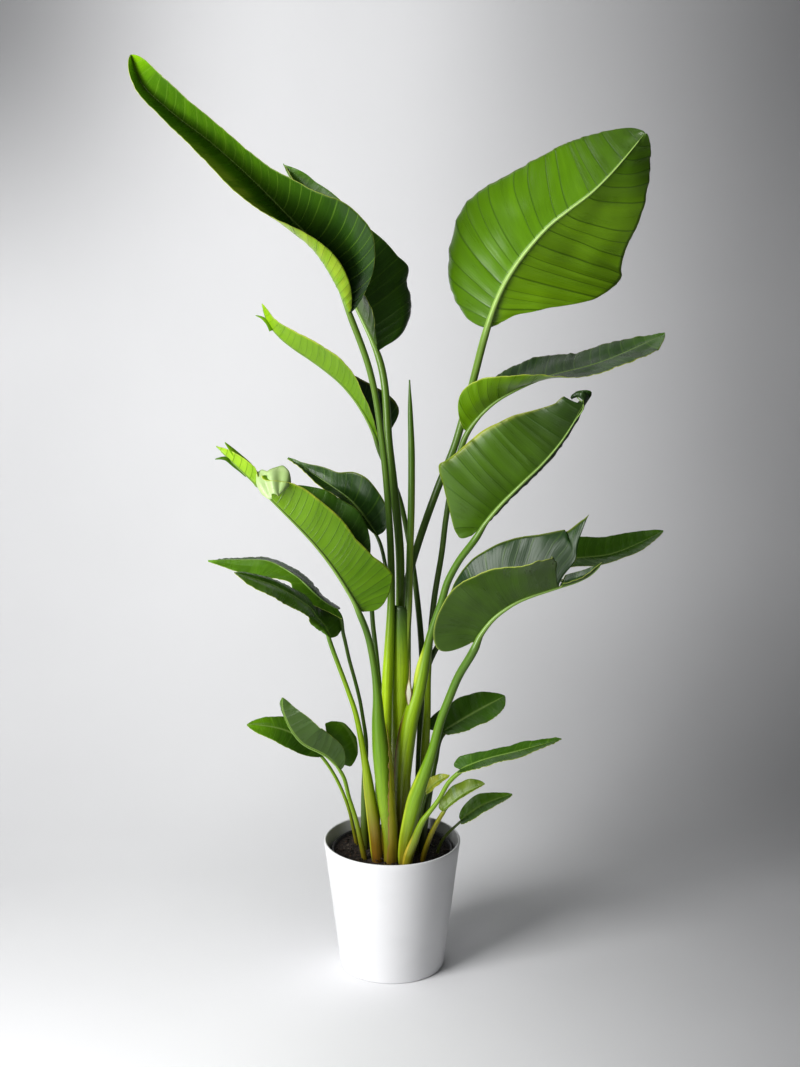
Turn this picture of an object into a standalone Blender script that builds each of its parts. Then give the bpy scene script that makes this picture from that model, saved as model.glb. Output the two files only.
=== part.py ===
"""Potted bird of paradise: twenty paddle leaves and a rolled spear in a white tapered planter.

Units are metres, +Z is up, and the origin is the centre of the planter's underside. The viewer
stands on the -Y side, so a leaf's left or right is the viewer's.
"""

from dataclasses import dataclass
from math import cos, pi, radians, sin

import bmesh
import bpy
from mathutils import Vector

NAME = "potted_bird_of_paradise"

# The planter and what it holds
POT_HEIGHT = 0.245
POT_RIM_RADIUS = 0.125
POT_BASE_RADIUS = 0.096
POT_WALL = 0.0045
POT_FLOOR = 0.0060
POT_FOOT_ROUND = 0.004
GROW_TOP = 0.228
GROW_TOP_RADIUS = 0.1085
GROW_BASE_RADIUS = 0.084
GROW_WALL = 0.0018
GROW_LIP = 0.0022
GROW_LIP_HEIGHT = 0.008
DRAIN_HOLES = 6
DRAIN_HOLE_RADIUS = 0.006
DRAIN_RING_RADIUS = 0.055
SOIL_EDGE_HEIGHT = 0.221
SOIL_CROWN_HEIGHT = 0.233
TURN_STEPS = 48

# Clearances between pieces that touch
GAP = 0.0003
SOCKET_GAP = 0.0004
RIB_GAP = 0.0005

# How every leaf is built
BLADE_THICKNESS = 0.0011
BLADE_GRID = (14, 6)
SMALL_BLADE_GRID = (10, 4)
SMALL_BLADE_WIDTH = 0.046
VEIN_LAG = 1.20
VEIN_BEND = 1.5
SETTLE_RUN = 0.60
LEAST_WIDTH = 0.0025
RIB_TIP_RADIUS = 0.0012
RIB_SHARE = 0.60
STEM_STEP = 0.065

# The dry sheath round the foot of the front left stem. Its two side margins are angles round the
# stem, in degrees, from the viewer's side: at the foot, and where they meet at the point.
SHEATH_FOOT = 0.215
SHEATH_HEIGHT = 0.275
SHEATH_THICKNESS = 0.0012
SHEATH_CLEARANCE = 0.0026
SHEATH_LEFT = (-25.0, 74.0)
SHEATH_RIGHT = (130.0, 88.0)
SHEATH_RING_DEPTH = 0.030


@dataclass(frozen=True)
class Half:
    """Half a blade: its fold up from flat and its further curl, at base and tip, in degrees.

    Past the share of the run where it is torn, only a strip of the half is left. The lobe
    carries the margin's base back past the collar. The edge gives (run, factor, carry) stations:
    the half is widened by the factor, and its margin carried on towards the tip.
    """

    fold_base: float
    fold_tip: float
    curl_base: float = 0.0
    curl_tip: float = 0.0
    torn: float = 1.0
    strip: float = 0.2
    lobe: float = 0.05
    edge: tuple = ((0.0, 1.0, 0.0), (1.0, 1.0, 0.0))


@dataclass(frozen=True)
class Leaf:
    """One leaf: its stem's run up from the soil, its midrib's run, and how the blade is held.

    Each stem point is (x, y, z, radius). The collar is the radius where the stem meets the blade.
    """

    name: str
    stem: tuple
    collar: float
    blade: tuple
    half_width: float
    face: tuple
    left: Half
    right: Half
    colour: tuple
    fullness: float = 0.45
    taper: float = 0.75
    ripple: float = 0.003
    waves: float = 3.0


DEEP = (0.020, 0.085, 0.022, 1.0)
MID = (0.045, 0.170, 0.020, 1.0)
FRESH = (0.110, 0.300, 0.020, 1.0)

LEAVES = (
    Leaf(
        "left_leaf_1",
        stem=((-0.010, -0.018, 0.200, 0.0090), (-0.010, -0.017, 0.420, 0.0090),
              (-0.008, -0.012, 0.554, 0.0100), (-0.004, -0.008, 0.627, 0.0085),
              (-0.001, -0.004, 0.700, 0.0068), (-0.002, 0.000, 0.791, 0.0062),
              (-0.007, 0.000, 0.882, 0.0058), (-0.015, 0.000, 0.971, 0.0057),
              (-0.038, -0.004, 1.113, 0.0056)),
        collar=0.0056,
        blade=((-0.070, -0.020, 1.210), (-0.130, -0.050, 1.340), (-0.223, -0.075, 1.438),
               (-0.337, -0.085, 1.536), (-0.422, -0.085, 1.644)),
        half_width=0.085,
        face=((0.12, -1.0, 0.05), (0.12, -1.0, 0.05)),
        left=Half(60, 66, 105,
                  edge=((0.0, 1.1, 0.0), (0.4, 1.2, 0.0), (0.5, 1.1, 0.0), (0.6, 0.96, 0.0),
                        (0.75, 0.84, 0.0), (0.9, 1.0, 0.0), (1.0, 1.0, 0.0))),
        right=Half(35, 62,
                   edge=((0.0, 1.0, 0.0), (0.1, 1.05, 0.0), (0.2, 1.3, 0.0), (0.3, 1.2, 0.0), (0.4, 1.0, 0.0),
                         (0.5, 0.88, 0.0), (0.6, 0.86, 0.0), (0.7, 0.92, 0.0), (1.0, 1.0, 0.0))),
        colour=MID,
        taper=0.55,
    ),
    Leaf(
        "left_leaf_2",
        stem=((0.010, 0.022, 0.200, 0.0080), (0.010, 0.022, 0.450, 0.0080),
              (0.014, 0.020, 0.619, 0.0081), (0.015, 0.020, 0.693, 0.0077),
              (0.014, 0.020, 0.786, 0.0076), (0.006, 0.025, 0.876, 0.0075),
              (-0.004, 0.030, 0.965, 0.0072)),
        collar=0.0062,
        blade=((-0.024, 0.050, 1.138), (-0.082, 0.085, 1.250), (-0.126, 0.110, 1.333),
               (-0.192, 0.165, 1.452)),
        half_width=0.098,
        face=((0.45, -0.85, 0.25), (0.35, -0.80, 0.45)),
        left=Half(80, 75),
        right=Half(15, 40, -10,
                   edge=((0.0, 0.7, 0.0), (0.05, 0.84, 0.0), (0.1, 0.95, 0.0), (0.2, 1.03, 0.0),
                         (0.27, 1.15, 0.0), (0.35, 1.03, 0.0), (1.0, 1.0, 0.0))),
        colour=DEEP,
        taper=1.15,
    ),
    Leaf(
        "left_leaf_3",
        stem=((0.050, 0.060, 0.200, 0.0060), (0.054, 0.062, 0.400, 0.0058),
              (0.056, 0.066, 0.528, 0.0056), (0.053, 0.070, 0.603, 0.0056),
              (0.046, 0.075, 0.678, 0.0052), (0.030, 0.080, 0.789, 0.0048),
              (0.014, 0.084, 0.863, 0.0046)),
        collar=0.0045,
        blade=((-0.020, 0.090, 0.968), (-0.052, 0.090, 1.024), (-0.085, 0.090, 1.063),
               (-0.151, 0.085, 1.116), (-0.226, 0.080, 1.205)),
        half_width=0.060,
        face=((0.62, 0.10, 0.70), (0.75, 0.0, 0.65)),
        left=Half(30, 40,
                  edge=((0.0, 0.5, 0.0), (0.2, 0.75, 0.0), (0.4, 0.85, 0.0), (0.5, 1.0, 0.0), (0.7, 1.25, 0.0),
                        (0.9, 1.5, 0.0), (1.0, 1.5, 0.0))),
        right=Half(60, 15,
                   edge=((0.0, 1.6, 0.0), (0.05, 1.8, 0.0), (0.1, 1.65, 0.0), (0.2, 1.3, 0.0),
                         (0.3, 1.05, 0.0), (0.4, 0.8, 0.0), (1.0, 0.8, 0.0))),
        colour=FRESH,
    ),
    Leaf(
        "left_leaf_4",
        stem=((-0.004, -0.062, 0.200, 0.0112), (-0.004, -0.062, 0.268, 0.0116),
              (-0.012, -0.062, 0.344, 0.0138), (-0.020, -0.060, 0.439, 0.0150),
              (-0.024, -0.060, 0.495, 0.0115), (-0.025, -0.060, 0.532, 0.0085),
              (-0.028, -0.060, 0.569, 0.0065), (-0.033, -0.060, 0.606, 0.0060),
              (-0.040, -0.062, 0.644, 0.0060)),
        collar=0.0056,
        blade=((-0.053, -0.080, 0.702), (-0.120, -0.100, 0.813), (-0.205, -0.115, 0.910),
               (-0.297, -0.100, 0.998)),
        half_width=0.079,
        face=((0.60, 0.56, 0.50), (0.40, 0.35, 0.80)),
        left=Half(60, 50, torn=0.78, strip=0.28,
                  edge=((0.0, 1.0, 0.0), (0.1, 1.2, 0.0), (0.2, 0.92, 0.0), (0.3, 0.78, 0.0), (0.5, 0.85, 0.0),
                        (0.7, 0.95, 0.0), (1.0, 1.0, 0.0))),
        right=Half(65, 65, torn=0.78, strip=0.12,
                   edge=((0.0, 0.8, 0.0), (0.6, 0.8, 0.0), (0.78, 1.0, 0.0), (1.0, 1.0, 0.0))),
        colour=FRESH,
        taper=0.80,
        fullness=0.40,
    ),
    Leaf(
        "left_leaf_5",
        stem=((-0.006, 0.044, 0.200, 0.0045), (-0.004, 0.045, 0.600, 0.0045),
              (-0.003, 0.046, 0.705, 0.0040), (-0.010, 0.050, 0.741, 0.0034)),
        collar=0.0033,
        blade=((-0.027, 0.070, 0.800), (-0.075, 0.090, 0.859), (-0.130, 0.120, 0.893),
               (-0.190, 0.150, 0.925)),
        half_width=0.045,
        face=((0.05, -0.75, 0.60), (0.0, -0.60, 0.80)),
        left=Half(50, 40),
        right=Half(30, 55),
        colour=DEEP,
        taper=1.0,
    ),
    Leaf(
        "left_leaf_6",
        stem=((-0.028, 0.006, 0.200, 0.0050), (-0.024, 0.004, 0.420, 0.0050),
              (-0.021, 0.006, 0.510, 0.0044), (-0.026, 0.012, 0.575, 0.0041),
              (-0.033, 0.020, 0.637, 0.0042)),
        collar=0.0040,
        blade=((-0.048, 0.026, 0.766), (-0.083, 0.030, 0.820), (-0.127, 0.035, 0.862),
               (-0.173, 0.040, 0.898)),
        half_width=0.038,
        face=((0.30, -0.60, 0.60), (0.10, -0.60, 0.80)),
        left=Half(45, 45),
        right=Half(35, 35),
        colour=DEEP,
    ),
    Leaf(
        "left_leaf_7",
        stem=((-0.025, -0.050, 0.200, 0.0095), (-0.027, -0.050, 0.233, 0.0099),
              (-0.033, -0.050, 0.301, 0.0107), (-0.043, -0.050, 0.378, 0.0086),
              (-0.050, -0.050, 0.425, 0.0058), (-0.058, -0.050, 0.473, 0.0050),
              (-0.066, -0.050, 0.510, 0.0046), (-0.078, -0.052, 0.548, 0.0041)),
        collar=0.0040,
        blade=((-0.101, -0.060, 0.645), (-0.152, -0.080, 0.717), (-0.215, -0.105, 0.762),
               (-0.283, -0.140, 0.797)),
        half_width=0.052,
        face=((0.62, -0.25, 0.70), (0.60, -0.25, 0.75)),
        left=Half(8, 8),
        right=Half(0, 0, -25, -25),
        colour=DEEP,
    ),
    Leaf(
        "left_leaf_8",
        stem=((-0.050, 0.006, 0.200, 0.0072), (-0.050, 0.006, 0.317, 0.0069),
              (-0.049, 0.006, 0.376, 0.0055), (-0.048, 0.008, 0.442, 0.0036),
              (-0.052, 0.010, 0.470, 0.0033), (-0.058, 0.012, 0.508, 0.0033),
              (-0.066, 0.014, 0.545, 0.0033), (-0.076, 0.016, 0.586, 0.0033)),
        collar=0.0034,
        blade=((-0.092, 0.020, 0.662), (-0.120, 0.020, 0.701), (-0.164, 0.018, 0.738),
               (-0.225, 0.012, 0.755), (-0.325, 0.000, 0.771)),
        half_width=0.045,
        face=((0.35, -0.05, 0.90), (0.30, -0.05, 0.95)),
        left=Half(5, 5),
        right=Half(0, 0, -15, -15),
        colour=DEEP,
    ),
    Leaf(
        "left_leaf_9",
        stem=((-0.046, -0.040, 0.200, 0.0054), (-0.057, -0.045, 0.260, 0.0048),
              (-0.065, -0.047, 0.300, 0.0042), (-0.076, -0.050, 0.340, 0.0037)),
        collar=0.0034,
        blade=((-0.090, -0.070, 0.408), (-0.140, -0.080, 0.452), (-0.180, -0.088, 0.500),
               (-0.193, -0.090, 0.546)),
        half_width=0.042,
        face=((0.55, 0.30, 0.65), (0.40, 0.30, 0.80)),
        left=Half(55, 50),
        right=Half(45, 45),
        colour=DEEP,
    ),
    Leaf(
        "left_leaf_10",
        stem=((-0.062, 0.027, 0.200, 0.0036), (-0.071, 0.024, 0.251, 0.0033),
              (-0.079, 0.020, 0.292, 0.0031)),
        collar=0.0030,
        blade=((-0.126, 0.010, 0.401), (-0.190, -0.005, 0.455), (-0.260, -0.020, 0.473)),
        half_width=0.040,
        face=((0.30, -0.45, 0.80), (0.10, -0.40, 0.90)),
        left=Half(20, 20),
        right=Half(5, 5),
        colour=MID,
    ),
    Leaf(
        "right_leaf_1",
        stem=((0.022, 0.044, 0.200, 0.0072), (0.018, 0.043, 0.450, 0.0072),
              (0.018, 0.042, 0.612, 0.0072), (0.028, 0.038, 0.725, 0.0067),
              (0.038, 0.037, 0.763, 0.0067), (0.049, 0.037, 0.800, 0.0067),
              (0.081, 0.040, 0.893, 0.0066), (0.112, 0.046, 0.972, 0.0066),
              (0.128, 0.042, 1.030, 0.0066), (0.140, 0.028, 1.080, 0.0066)),
        collar=0.0066,
        blade=((0.164, 0.000, 1.186), (0.188, -0.025, 1.257), (0.256, -0.060, 1.358),
               (0.342, -0.090, 1.433), (0.414, -0.100, 1.519)),
        half_width=0.145,
        face=((0.05, 0.96, 0.25), (0.05, 0.96, 0.25)),
        left=Half(3, 25, 5, 5, lobe=0.07,
                  edge=((0.0, 0.3, 0.0), (0.1, 0.4, 0.0), (0.2, 0.65, 0.0), (0.3, 1.06, 0.0), (0.4, 1.24, 0.0),
                        (0.47, 1.3, 0.01), (0.6, 1.0, 0.07), (0.8, 0.64, 0.08), (0.9, 0.5, 0.05),
                        (1.0, 0.45, 0.0))),
        right=Half(33, 50, 10, 10, lobe=0.07,
                   edge=((0.0, 1.0, 0.0), (0.2, 1.05, 0.0), (0.3, 1.18, 0.0), (0.4, 1.0, 0.0),
                         (0.5, 0.9, 0.0), (0.8, 0.9, 0.0), (1.0, 1.0, 0.0))),
        colour=FRESH,
        taper=0.60,
        fullness=0.50,
    ),
    Leaf(
        "right_leaf_2",
        stem=((0.052, 0.012, 0.200, 0.0078), (0.058, 0.020, 0.360, 0.0078),
              (0.061, 0.028, 0.425, 0.0080), (0.064, 0.030, 0.482, 0.0064),
              (0.065, 0.035, 0.538, 0.0058), (0.069, 0.045, 0.611, 0.0054),
              (0.076, 0.050, 0.685, 0.0053), (0.090, 0.050, 0.778, 0.0052),
              (0.096, 0.045, 0.834, 0.0051), (0.113, 0.038, 0.930, 0.0050)),
        collar=0.0052,
        blade=((0.130, 0.030, 1.000), (0.172, 0.025, 1.046), (0.251, 0.020, 1.090),
               (0.361, 0.030, 1.120), (0.477, 0.050, 1.168)),
        half_width=0.085,
        face=((-0.40, -0.20, 0.90), (-0.30, -0.25, 0.92)),
        left=Half(6, 2, lobe=-0.02, edge=((0.0, 0.2, 0.0), (0.1, 0.6, 0.0), (0.2, 1.0, 0.0), (1.0, 1.0, 0.0))),
        right=Half(88, 8, lobe=0.01,
                   edge=((0.0, 0.8, 0.0), (0.1, 0.9, 0.0), (0.2, 0.9, 0.0), (0.3, 0.8, 0.0), (0.4, 0.8, 0.0),
                         (0.6, 0.85, 0.0), (0.7, 1.0, 0.0), (0.8, 1.3, 0.0), (0.9, 1.8, 0.0),
                         (1.0, 2.0, 0.0))),
        colour=DEEP,
    ),
    Leaf(
        "right_leaf_3",
        stem=((0.014, -0.028, 0.200, 0.0110), (0.017, -0.028, 0.320, 0.0130),
              (0.024, -0.028, 0.427, 0.0160), (0.033, -0.028, 0.484, 0.0148),
              (0.048, -0.030, 0.541, 0.0120), (0.059, -0.031, 0.597, 0.0096),
              (0.066, -0.034, 0.634, 0.0072), (0.088, -0.042, 0.709, 0.0066),
              (0.098, -0.048, 0.746, 0.0064), (0.113, -0.056, 0.779, 0.0062)),
        collar=0.0062,
        blade=((0.149, -0.080, 0.853), (0.185, -0.090, 0.906), (0.245, -0.103, 0.970),
               (0.322, -0.120, 1.081)),
        half_width=0.120,
        face=((-0.55, 0.65, 0.53), (-0.50, 0.65, 0.55)),
        left=Half(22, 22, 45, 45, lobe=0.12),
        right=Half(50, 50, lobe=0.13,
                   edge=((0.0, 0.7, -0.02), (0.05, 0.72, -0.03), (0.1, 0.87, -0.03), (0.15, 1.03, -0.03),
                         (0.24, 0.96, -0.04), (0.39, 0.85, -0.05), (0.6, 0.87, -0.05), (0.7, 0.93, -0.05),
                         (0.85, 1.0, -0.03), (1.0, 1.3, 0.0))),
        colour=FRESH,
        fullness=0.35,
    ),
    Leaf(
        "right_leaf_4",
        stem=((0.023, -0.066, 0.200, 0.0114), (0.027, -0.071, 0.273, 0.0122),
              (0.034, -0.077, 0.313, 0.0131), (0.042, -0.082, 0.352, 0.0134),
              (0.060, -0.090, 0.412, 0.0105), (0.072, -0.094, 0.451, 0.0086),
              (0.086, -0.100, 0.509, 0.0076), (0.099, -0.107, 0.548, 0.0073),
              (0.113, -0.113, 0.587, 0.0073)),
        collar=0.0073,
        blade=((0.132, -0.140, 0.666), (0.178, -0.150, 0.712), (0.241, -0.160, 0.755),
               (0.352, -0.180, 0.815)),
        half_width=0.108,
        face=((-0.40, 0.30, 0.85), (-0.30, 0.30, 0.90)),
        left=Half(72, 80, torn=0.655, strip=0.15, lobe=0.10,
                  edge=((0.0, 1.0, 0.0), (0.2, 1.05, 0.0), (0.3, 1.0, 0.01), (0.4, 0.9, 0.08),
                        (0.5, 0.84, 0.12), (0.6, 0.87, 0.26), (0.65, 0.95, 0.42), (0.66, 1.0, 0.0),
                        (1.0, 1.0, 0.0))),
        right=Half(60, 28, 0, -15, torn=0.72, strip=0.10, lobe=0.18,
                   edge=((0.0, 1.0, 0.0), (0.2, 1.0, 0.0), (0.3, 1.08, 0.0), (0.5, 1.18, 0.02),
                         (0.6, 1.2, 0.06), (0.71, 1.2, 0.18), (0.73, 1.0, 0.0), (1.0, 1.0, 0.0))),
        colour=MID,
        taper=0.35,
        fullness=0.35,
    ),
    Leaf(
        "right_leaf_5",
        stem=((0.046, 0.044, 0.200, 0.0050), (0.050, 0.048, 0.420, 0.0050),
              (0.057, 0.052, 0.530, 0.0050), (0.088, 0.055, 0.605, 0.0048)),
        collar=0.0045,
        blade=((0.159, 0.060, 0.682), (0.231, 0.065, 0.720), (0.307, 0.070, 0.752),
               (0.400, 0.085, 0.762), (0.492, 0.100, 0.801)),
        half_width=0.055,
        face=((-0.25, -0.35, 0.90), (-0.15, -0.35, 0.92)),
        left=Half(20, 20),
        right=Half(20, 20),
        colour=DEEP,
    ),
    Leaf(
        "right_leaf_6",
        stem=((0.052, -0.006, 0.200, 0.0066), (0.061, -0.004, 0.290, 0.0070),
              (0.069, 0.000, 0.340, 0.0060), (0.078, 0.010, 0.390, 0.0055)),
        collar=0.0050,
        blade=((0.095, 0.050, 0.435), (0.147, 0.070, 0.461), (0.208, 0.090, 0.489)),
        half_width=0.038,
        face=((-0.20, -0.60, 0.75), (-0.10, -0.55, 0.80)),
        left=Half(20, 20),
        right=Half(20, 20),
        colour=DEEP,
    ),
    Leaf(
        "right_leaf_7",
        stem=((0.028, -0.089, 0.212, 0.0078), (0.029, -0.093, 0.243, 0.0084),
              (0.041, -0.098, 0.283, 0.0075), (0.056, -0.103, 0.323, 0.0055),
              (0.068, -0.106, 0.341, 0.0042), (0.082, -0.109, 0.362, 0.0040),
              (0.101, -0.112, 0.398, 0.0040)),
        collar=0.0039,
        blade=((0.121, -0.120, 0.425), (0.154, -0.125, 0.442), (0.222, -0.130, 0.463),
               (0.296, -0.130, 0.484)),
        half_width=0.032,
        face=((-0.20, -0.35, 0.90), (-0.15, -0.35, 0.92)),
        left=Half(20, 20),
        right=Half(20, 20),
        colour=DEEP,
    ),
    Leaf(
        "right_leaf_8",
        stem=((0.050, -0.055, 0.200, 0.0048), (0.060, -0.060, 0.247, 0.0048),
              (0.074, -0.065, 0.288, 0.0045)),
        collar=0.0036,
        blade=((0.091, -0.070, 0.327), (0.126, -0.070, 0.357), (0.166, -0.070, 0.378)),
        half_width=0.026,
        face=((-0.25, -0.45, 0.85), (-0.15, -0.45, 0.88)),
        left=Half(20, 20),
        right=Half(20, 20),
        colour=FRESH,
    ),
    Leaf(
        "right_leaf_9",
        stem=((0.044, -0.020, 0.200, 0.0036), (0.050, -0.020, 0.280, 0.0034)),
        collar=0.0028,
        blade=((0.062, -0.016, 0.341), (0.080, -0.018, 0.360), (0.104, -0.020, 0.375)),
        half_width=0.022,
        face=((-0.30, -0.45, 0.80), (-0.20, -0.45, 0.85)),
        left=Half(20, 20),
        right=Half(20, 20),
        colour=FRESH,
    ),
    Leaf(
        "right_leaf_10",
        stem=((0.078, -0.014, 0.200, 0.0032), (0.092, -0.021, 0.250, 0.0028)),
        collar=0.0022,
        blade=((0.125, -0.030, 0.293), (0.170, -0.030, 0.325), (0.217, -0.030, 0.343)),
        half_width=0.026,
        face=((-0.20, -0.45, 0.85), (-0.10, -0.45, 0.88)),
        left=Half(20, 20),
        right=Half(20, 20),
        colour=MID,
    ),
)

# The rolled new leaf, as (x, y, z, radius)
SPEAR = ((0.021, 0.000, 0.200, 0.0066), (0.022, 0.000, 0.420, 0.0070), (0.025, 0.001, 0.549, 0.0078),
         (0.026, 0.000, 0.625, 0.0078), (0.030, 0.000, 0.699, 0.0070), (0.032, 0.000, 0.791, 0.0063),
         (0.034, 0.000, 0.882, 0.0060), (0.034, 0.000, 0.971, 0.0058), (0.032, 0.000, 1.045, 0.0042),
         (0.031, 0.000, 1.095, 0.0010))


class Route:
    """A smooth run through a few chosen points, read by the share of its length."""

    def __init__(self, points):
        self.points = [Vector(point) for point in points]
        self.marks = [0.0]
        for start, end in zip(self.points, self.points[1:]):
            self.marks.append(self.marks[-1] + (end - start).length)
        self.length = self.marks[-1]
        self.slopes = self.find_slopes()

    def find_slopes(self):
        """The direction of travel at each point: inner ones weigh their two neighbours."""
        steps = [b - a for a, b in zip(self.marks, self.marks[1:])]
        chords = [(b - a) / step for a, b, step in zip(self.points, self.points[1:], steps)]
        if len(chords) == 1:
            return [chords[0], chords[0]]
        inner = [
            (chords[i] * steps[i + 1] + chords[i + 1] * steps[i]) / (steps[i] + steps[i + 1])
            for i in range(len(chords) - 1)
        ]
        first = chords[0] * 1.5 - inner[0] * 0.5
        last = chords[-1] * 1.5 - inner[-1] * 0.5
        return [first, *inner, last]

    def at(self, share):
        """The point at a share of the length. Past an end, the run goes on straight."""
        travelled = share * self.length
        if travelled <= 0.0:
            return self.points[0] + self.slopes[0] * travelled
        if travelled >= self.length:
            return self.points[-1] + self.slopes[-1] * (travelled - self.length)
        i = max(n for n, mark in enumerate(self.marks[:-1]) if mark <= travelled)
        step = self.marks[i + 1] - self.marks[i]
        t = (travelled - self.marks[i]) / step
        return (
            self.points[i] * (2 * t**3 - 3 * t**2 + 1)
            + self.slopes[i] * (step * (t**3 - 2 * t**2 + t))
            + self.points[i + 1] * (3 * t**2 - 2 * t**3)
            + self.slopes[i + 1] * (step * (t**3 - t**2))
        )

    def direction(self, share):
        """The unit tangent at a share of the length."""
        reach = 0.001
        return (self.at(share + reach) - self.at(share - reach)).normalized()


def mix(a, b, share):
    """The value that lies a share of the way from a to b."""
    return a + (b - a) * share


def smooth(share):
    """Eases from 0 to 1, level at both ends."""
    held = min(max(share, 0.0), 1.0)
    return held * held * (3 - 2 * held)


def read_stations(stations, share):
    """The values at a share, from (share, value, ...) stations in order."""
    for (low, *first), (high, *last) in zip(stations, stations[1:]):
        if share <= high:
            return [mix(a, b, (share - low) / (high - low)) for a, b in zip(first, last)]
    return stations[-1][1:]


def material(name, colour, roughness, metallic=0.0):
    """A Principled material."""
    made = bpy.data.materials.new(name)
    made.use_nodes = True
    made.diffuse_color = colour
    shader = made.node_tree.nodes["Principled BSDF"]
    shader.inputs["Base Color"].default_value = colour
    shader.inputs["Roughness"].default_value = roughness
    shader.inputs["Metallic"].default_value = metallic
    return made


def add_object(name, data, collection, finish=None):
    """An object of this data at the origin, in a collection."""
    made = bpy.data.objects.new(name, data)
    collection.objects.link(made)
    if finish:
        data.materials.append(finish)
    return made


def turned(name, profile, collection, finish=None):
    """A solid of revolution from a profile that runs down its outer side and ends on the axis."""
    mesh = bpy.data.meshes.new(name)
    form = bmesh.new()
    corners = [form.verts.new((radius, 0.0, height)) for radius, height in profile]
    for start, end in zip(corners, corners[1:]):
        form.edges.new((start, end))
    form.to_mesh(mesh)
    form.free()
    made = add_object(name, mesh, collection, finish)
    screw = made.modifiers.new("turn", "SCREW")
    screw.steps = TURN_STEPS
    screw.render_steps = TURN_STEPS
    screw.use_merge_vertices = True
    screw.merge_threshold = 0.00005
    return made


def round_corner(centre, radius, start, end, steps=3):
    """Points of an arc in the profile plane, from one angle to another, in degrees."""
    angles = [radians(mix(start, end, i / steps)) for i in range(steps + 1)]
    return [(centre[0] + radius * cos(a), centre[1] + radius * sin(a)) for a in angles]


def pot_inner_radius(height):
    """The planter's inside radius at a height."""
    return mix(POT_BASE_RADIUS, POT_RIM_RADIUS, height / POT_HEIGHT) - POT_WALL


def build_pot(collection):
    """The white planter: a tapered wall with a rounded rim, and a closed flat bottom."""
    rim = POT_WALL / 2
    rim_centre = (POT_RIM_RADIUS - rim, POT_HEIGHT - rim)
    foot_centre = (POT_BASE_RADIUS - POT_FOOT_ROUND, POT_FOOT_ROUND)
    profile = [
        (0.0, POT_FLOOR),
        (pot_inner_radius(POT_FLOOR), POT_FLOOR),
        *round_corner(rim_centre, rim, 180, 0, 6),
        *round_corner(foot_centre, POT_FOOT_ROUND, 0, -90),
        (0.0, 0.0),
    ]
    return turned("pot", profile, collection, material("pot_white", (0.86, 0.87, 0.88, 1), 0.32))


def grow_radius(height):
    """The nursery pot's outside radius at a height."""
    base = POT_FLOOR + GAP
    return mix(GROW_BASE_RADIUS, GROW_TOP_RADIUS, (height - base) / (GROW_TOP - base))


def build_grow_pot(collection, cutters):
    """The thin black nursery pot, with a turned-out lip and a ring of drain holes."""
    base = POT_FLOOR + GAP
    inside = GROW_WALL
    profile = [
        (0.0, base + inside),
        (grow_radius(base + inside) - inside, base + inside),
        (GROW_TOP_RADIUS - inside, GROW_TOP),
        (GROW_TOP_RADIUS + GROW_LIP, GROW_TOP),
        (GROW_TOP_RADIUS + GROW_LIP, GROW_TOP - GROW_LIP_HEIGHT),
        (grow_radius(GROW_TOP - GROW_LIP_HEIGHT), GROW_TOP - GROW_LIP_HEIGHT),
        (GROW_BASE_RADIUS, base),
        (0.0, base),
    ]
    made = turned("grow_pot", profile, collection, material("black_plastic", (0.02, 0.02, 0.02, 1), 0.5))
    drills = bmesh.new()
    for i in range(DRAIN_HOLES):
        angle = 2 * pi * i / DRAIN_HOLES
        drill = bmesh.ops.create_cone(
            drills, cap_ends=True, segments=12, radius1=DRAIN_HOLE_RADIUS,
            radius2=DRAIN_HOLE_RADIUS, depth=0.02,
        )
        place = Vector((cos(angle), sin(angle), 0.0)) * DRAIN_RING_RADIUS
        bmesh.ops.translate(drills, verts=drill["verts"], vec=place + Vector((0.0, 0.0, base)))
    cut(made, "drain_drills", drills, cutters)
    return made


def cut(target, name, form, cutters):
    """Takes a closed bmesh out of an object, with an exact Boolean."""
    mesh = bpy.data.meshes.new(name)
    form.to_mesh(mesh)
    form.free()
    tool = add_object(name, mesh, cutters)
    tool.display_type = "WIRE"
    tool.hide_render = True
    boolean = target.modifiers.new(name, "BOOLEAN")
    boolean.operation = "DIFFERENCE"
    boolean.solver = "EXACT"
    boolean.object = tool
    return tool


def tube(name, points, radii, collection, finish=None):
    """A round tube through the points, with its own radius at each."""
    widest = max(radii)
    run = bpy.data.curves.new(name, "CURVE")
    run.dimensions = "3D"
    run.bevel_depth = widest
    run.bevel_resolution = 2
    run.use_fill_caps = True
    spline = run.splines.new("POLY")
    spline.points.add(len(points) - 1)
    for knot, place, radius in zip(spline.points, points, radii):
        knot.co = (*place, 1.0)
        knot.radius = radius / widest
    return add_object(name, run, collection, finish)


def tube_mesh(name, points, radii, collection):
    """The same tube as a closed bmesh, for cutting. The curve is removed again."""
    run = tube(name, points, radii, collection)
    bpy.context.view_layer.update()
    evaluated = run.evaluated_get(bpy.context.evaluated_depsgraph_get())
    mesh = bpy.data.meshes.new_from_object(evaluated)
    curve = run.data
    bpy.data.objects.remove(run)
    bpy.data.curves.remove(curve)
    form = bmesh.new()
    form.from_mesh(mesh)
    bpy.data.meshes.remove(mesh)
    bmesh.ops.remove_doubles(form, verts=form.verts, dist=0.00001)
    bmesh.ops.recalc_face_normals(form, faces=form.faces)
    return form


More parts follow.
